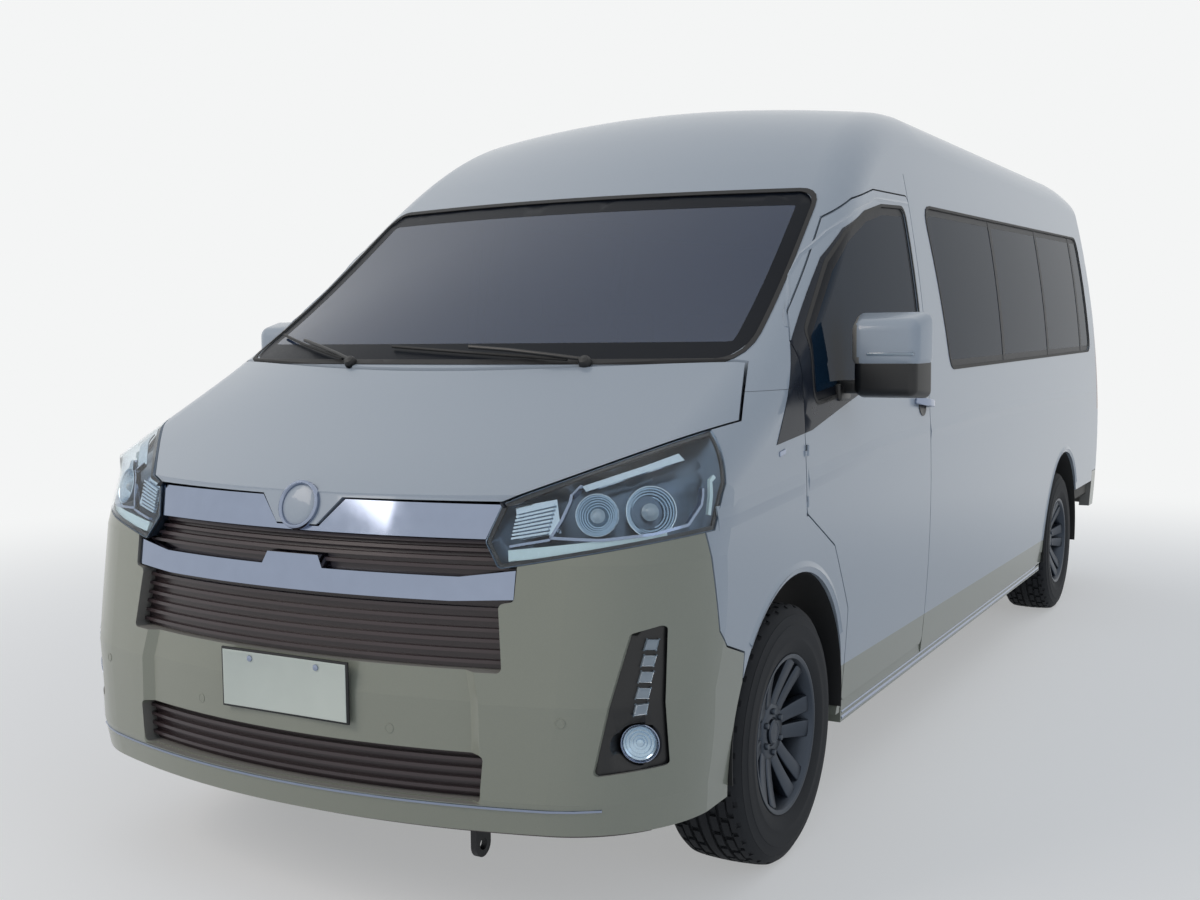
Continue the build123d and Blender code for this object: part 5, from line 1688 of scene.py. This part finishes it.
PAD_VOXEL = 0.020
PAD_SWELL = 0.011
CLOTH_PRESSURE = 4.0
INSERT_FACING = 0.6
SEAM_RISE = 0.045
SEAM_SINK = 0.004
SEAM_HALF_WIDTH = 0.009
SWELL_FRAMES = 20


def sewn_pad(name, shape, seam_x, seam_way, cross_seams):
    """Swell a block with cloth pressure, held back at its seams, and return its mesh"""
    data = bpy.data.meshes.new(name)
    shape.to_mesh(data)
    shape.free()
    holder = new_object(name, data)
    remesh = holder.modifiers.new("even_mesh", "REMESH")
    remesh.mode = "VOXEL"
    remesh.voxel_size = PAD_VOXEL
    even = applied(holder)
    holder.modifiers.clear()
    holder.data = even
    start = [vert.co.copy() for vert in even.vertices]
    normals = [vert.normal.copy() for vert in even.vertices]
    cloth = holder.modifiers.new("swell", "CLOTH")
    cloth.settings.use_pressure = True
    cloth.settings.uniform_pressure_force = CLOTH_PRESSURE
    cloth.settings.effector_weights.gravity = 0.0
    for moment in range(1, SWELL_FRAMES + 1):
        bpy.context.scene.frame_set(moment)
    puffed = applied(holder)
    swollen = [vert.co.copy() for vert in puffed.vertices]
    holder.modifiers.clear()
    bpy.context.scene.frame_set(1)
    for vert, before, after, normal in zip(even.vertices, start, swollen, normals):
        gap = min(
            [abs(abs(before.x) - seam_x)]
            + [abs(before[seam_way] - place) for place in cross_seams]
        )
        most = PAD_SWELL * (0.25 + 0.75 * min(1.0, gap / SEAM_RISE) ** 0.7)
        move = after - before
        if move.length > most:
            move *= most / move.length
        vert.co = before + move - normal * SEAM_SINK * math.exp(-(gap / SEAM_HALF_WIDTH) ** 2)
    rounding = holder.modifiers.new("rounding", "SUBSURF")
    rounding.levels = rounding.render_levels = 1
    pad = applied(holder)
    bpy.data.objects.remove(holder)
    for face in pad.polygons:
        face.material_index = 1 if abs(face.center.x) < seam_x and max(
            -face.normal.y, face.normal.z) > INSERT_FACING else 0
    return pad


def set_down(mesh, places):
    """A shape with a copy of a mesh at each place; the mesh itself is removed"""
    shape = bmesh.new()
    for place in places:
        before = set(shape.verts)
        shape.from_mesh(mesh)
        moved = [vert for vert in shape.verts if vert not in before]
        bmesh.ops.translate(shape, vec=place, verts=moved)
    bpy.data.meshes.remove(mesh)
    return shape


# %% Seat pads, frames and headrests
WIDE_ROW = (0.620, 0.180, -0.610)
REAR_ROW = (0.432, -0.001, -0.434)
SEAT_ROWS = [(-0.480, WIDE_ROW), (0.290, WIDE_ROW), (1.060, WIDE_ROW), (1.850, REAR_ROW)]
# Each kind of seat: the CAD node that it stands for, its width, top and places
SEATS = {
    "passenger": (
        "passenger_seats", 0.430, 1.400, [(x, y, 0) for y, row in SEAT_ROWS for x in row]
    ),
    "driver": ("front_seats", 0.520, 1.490, [(0.430, -1.330, 0)]),
    "front_passenger": ("front_seats", 0.500, 1.490, [(-0.470, -1.330, 0)]),
}
FLOOR_Z = 0.505
CUSHION_PROFILE = [
    (0.008, 0.733), (0.380, 0.727), (0.386, 0.835), (0.060, 0.838), (0.010, 0.822)
]
PAN_PROFILE = [(0.020, 0.708), (0.480, 0.700), (0.480, 0.726), (0.020, 0.730)]
for tag, (replaced, width, top, places) in SEATS.items():
    back_profile = [
        (0.404, 0.734), (0.484, 0.730), (0.500, 0.828), (0.600, top - 0.030),
        (0.592, top - 0.008), (0.545, top - 0.004), (0.520, top - 0.030), (0.400, 0.850),
    ]
    rest_profile = [
        (0.566, top - 0.010), (0.622, top - 0.010), (0.626, top + 0.100), (0.608, top + 0.130),
        (0.584, top + 0.130), (0.564, top + 0.100),
    ]
    shell_profile = [
        (0.489, 0.722), (0.512, 0.822), (0.617, top - 0.030), (0.611, top - 0.026),
        (0.505, 0.832), (0.483, 0.728),
    ]
    seam_x = width * 0.30
    pad_width = width - 0.020
    for kind, shape, seam, seam_way, cross_seams in (
        ("cushion", block(CUSHION_PROFILE, pad_width, 0.018), seam_x, 1, (0.125, 0.255)),
        ("back", block(back_profile, pad_width, 0.018), seam_x, 2,
         (0.960, 1.110, top - 0.130)),
        ("headrest", block(rest_profile, 0.214, 0.016), 0.080, 2, ()),
    ):
        pad = sewn_pad(f"{tag}_{kind}", shape, seam, seam_way, cross_seams)
        piece = piece_from(
            f"{tag}_{kind}s", set_down(pad, places), "body", bolster_cloth, insert_cloth
        )
        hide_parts(replaced)

    frame_part = bmesh.new()
    half = min(width / 2 - 0.075, 0.640)
    for x in (-half, half):
        for reach, low_y, high_y, low_z, high_z, bevel in (
            (0.016, 0.070, 0.410, FLOOR_Z, FLOOR_Z + 0.018, 0.004),
            (0.013, 0.080, 0.112, FLOOR_Z + 0.012, 0.712, 0.006),
            (0.013, 0.370, 0.402, FLOOR_Z + 0.012, 0.712, 0.006),
            (0.011, 0.090, 0.395, 0.680, 0.706, 0.005),
        ):
            box_piece(frame_part, (x - reach, low_y, low_z), (x + reach, high_y, high_z), bevel)
    for y, z in ((0.096, 0.640), (0.386, 0.600)):
        lathe(frame_part, [(-half, 0.0005), (-half, 0.012), (half, 0.012), (half, 0.0005)],
              (0, y, z), (1, 0, 0), 16)
    posts = bmesh.new()
    for x in (-0.055, 0.055):
        lathe(posts, [(-0.050, 0.0005), (-0.050, 0.006), (0.030, 0.006), (0.030, 0.0005)],
              (x, 0.586, top), (0, 0.1, 1), 14)
        lathe(posts, [(-0.012, 0.007), (-0.012, 0.014), (-0.005, 0.013), (-0.005, 0.007)],
              (x, 0.586, top + 0.002), (0, 0.1, 1), 18)
    for name, part, finish, slot_name in (
        ("back_shells", block(shell_profile, width - 0.030, 0.002, 1), grey_trim,
         "grey_plastic"),
        ("seat_pans", block(PAN_PROFILE, width - 0.040, 0.006, 2), satin_black,
         "grey_plastic"),
        ("seat_frames", frame_part, chassis_steel, "under_paint"),
        ("headrest_posts", posts, chrome, "chrome_trim"),
    ):
        shape = set_down(mesh_of(part), places)
        piece_from(f"{tag}_{name}", shape, "body", finish)
print("seats:", sum(len(places) for _, _, _, places in SEATS.values()))

# %% [markdown]
# ## Cab fittings
# The dashboard's block gets what a driver looks at: a hooded instrument
# cluster, a screen in the middle, four air vents with slats, a glovebox lid and
# a gear lever. A bright strip runs along the lower edge of the front doors'
# glass, and a small bright clip ends the black corner trim on each wing.

# %% Cluster, screen, vents and gear lever
DASH_Y = -1.612
DIAL_PROFILE = [
    (0.0, 0.052), (0.005, 0.051), (0.006, 0.047), (0.001, 0.045), (0.001, 0.0005),
    (-0.004, 0.0005), (-0.004, 0.052),
]
LEVER_PROFILE = [
    (0.0, 0.0005), (0.0, 0.042), (0.012, 0.036), (0.028, 0.016), (0.045, 0.009),
    (0.100, 0.008), (0.104, 0.018), (0.120, 0.024), (0.140, 0.022), (0.150, 0.010),
    (0.152, 0.0005),
]
VENT_HALF = 0.045
hood = block(
    [(-1.760, 1.196), (-1.600, 1.196), (-1.585, 1.262), (-1.600, 1.270), (-1.735, 1.235)],
    0.360, 0.012,
)
bmesh.ops.translate(hood, vec=(0.430, 0, 0), verts=hood.verts)
piece_from("dash_instrument_hood", hood, "body", black_plastic)

dials = bmesh.new()
for x in (0.355, 0.505):
    lathe(dials, DIAL_PROFILE, (x, DASH_Y + 0.030, 1.205), (0, 1, 0.15), 40)
piece_from("dash_dials", dials, "body", gloss_black)

screen_shape = bmesh.new()
box_piece(screen_shape, (-0.110, DASH_Y - 0.002, 1.060), (0.130, DASH_Y + 0.010, 1.190), 0.006)
piece_from("dash_screen", screen_shape, "body", gloss_black)

vents = bmesh.new()
for x in (-0.790, -0.210, 0.170, 0.760):
    low_x, high_x = x - VENT_HALF, x + VENT_HALF
    box_piece(vents, (low_x, DASH_Y - 0.002, 1.105), (high_x, DASH_Y + 0.003, 1.170), 0.002)
    for number in range(5):
        z = 1.113 + number * 0.0115
        box_piece(
            vents, (low_x + 0.005, DASH_Y, z), (high_x - 0.005, DASH_Y + 0.010, z + 0.004),
            0.001, 1,
        )
piece_from("dash_vents", vents, "body", satin_black)

lid = bmesh.new()
box_piece(lid, (-0.720, DASH_Y - 0.002, 0.900), (-0.280, DASH_Y + 0.006, 1.060), 0.006)
box_piece(lid, (-0.540, DASH_Y + 0.004, 1.026), (-0.460, DASH_Y + 0.012, 1.044), 0.003)
piece_from("dash_glovebox_lid", lid, "body", grey_trim)

lever = bmesh.new()
lathe(lever, LEVER_PROFILE, (0.060, DASH_Y - 0.002, 0.960), (0, 0.75, 0.65), 28, closed=False)
piece_from("gear_lever", lever, "body", satin_black)

for hand, side in SIDES:
    strip = bmesh.new()
    side_ridge(strip, [(-1.395, 1.2555), (-0.750, 1.3085)], 0.009, 0.0035, 0.002)
    if hand < 0:
        mirror(strip)
    piece = piece_from(f"glass_bright_strip_{side}", strip, f"door_{side}", chrome)
clip = bmesh.new()
spot, slope = on_side(-2.105, 1.128)
box_piece(clip, (-0.5, -0.5, -0.5), (0.5, 0.5, 0.5), 0.16, 3)
for vert in clip.verts:
    x, y, z = vert.co
    vert.co = spot + Vector((x * 0.006, y * 0.045, z * 0.014 + y * 0.006))
other_hand(clip)
piece_from("wing_bright_clips", clip, "body", chrome)
print("cab fittings made")

# %% [markdown]
# ## Under the bonnet, in the arches and behind the last seats
# With the bonnet up, a ribbed cover, an oil filler and an intake hose lie over
# the engine block. Dark moulded liners line the wheel arches, and two grey
# strips close the load floor to the walls.

# %% Engine cover, liners and load floor
ENGINE_TOP_Z = 0.960
COVER_RIBS = 7
CAP_STEPS = [
    (0, 0.0005), (0, 0.034), (0.012, 0.034), (0.016, 0.030), (0.016, 0.010), (0.026, 0.008),
    (0.026, 0.0005),
]
engine_cover = bmesh.new()
box_piece(
    engine_cover, (-0.200, -2.400, ENGINE_TOP_Z - 0.004), (0.200, -2.020, ENGINE_TOP_Z + 0.030),
    0.014, 3,
)
for number in range(COVER_RIBS):
    x = -0.150 + number * 0.050
    box_piece(
        engine_cover, (x - 0.009, -2.370, ENGINE_TOP_Z + 0.022),
        (x + 0.009, -2.110, ENGINE_TOP_Z + 0.038), 0.005, 2,
    )
piece_from("engine_cover", engine_cover, "body", black_plastic)
filler = bmesh.new()
lathe(filler, CAP_STEPS, (0.120, -2.060, ENGINE_TOP_Z + 0.030), (0, 0, 1), 32)
piece_from("oil_filler_cap", filler, "body", satin_black)
hose(
    "intake_hose",
    [(-0.190, -2.220, 0.940), (-0.240, -2.240, 0.950), (-0.300, -2.290, 0.935),
     (-0.340, -2.360, 0.900), (-0.350, -2.430, 0.850), (-0.350, -2.470, 0.800)],
    0.032, "body", seal_rubber, sides=6,
)

LINER_SECTION = [
    (0.800, 0.0), (0.870, 0.004), (0.958, 0.0), (0.958, 0.003), (0.870, 0.007), (0.800, 0.003)
]
LINERS = [("front", 0.411, -8, 188), ("rear", 0.427, -12, 192)]
liners = bmesh.new()
for end, radius, start_angle, end_angle in LINERS:
    centre = (AXLES[end], ARCH_MIDDLE_Z)
    arcs = [
        [(x, y, z) for y, z in arc(centre, radius - sunk, start_angle, end_angle, 40)]
        for x, sunk in LINER_SECTION
    ]
    bridge(liners, list(zip(*arcs)))
other_hand(liners)
piece_from("arch_liners", liners, "body", black_plastic)

load_floor = bmesh.new()
box_piece(load_floor, (0.600, 2.300, 0.500), (0.935, 2.850, 0.509), 0.003)
box_piece(load_floor, (0.915, 2.300, 0.500), (0.935, 2.850, 0.580), 0.003)
other_hand(load_floor)
piece_from("load_floor_edges", load_floor, "body", grey_trim)
print("engine cover, arch liners and load floor edges made")

# %% Work out the two sizes
boxes = [[list(corner) for corner in pair] for pair in (cad_box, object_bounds())]
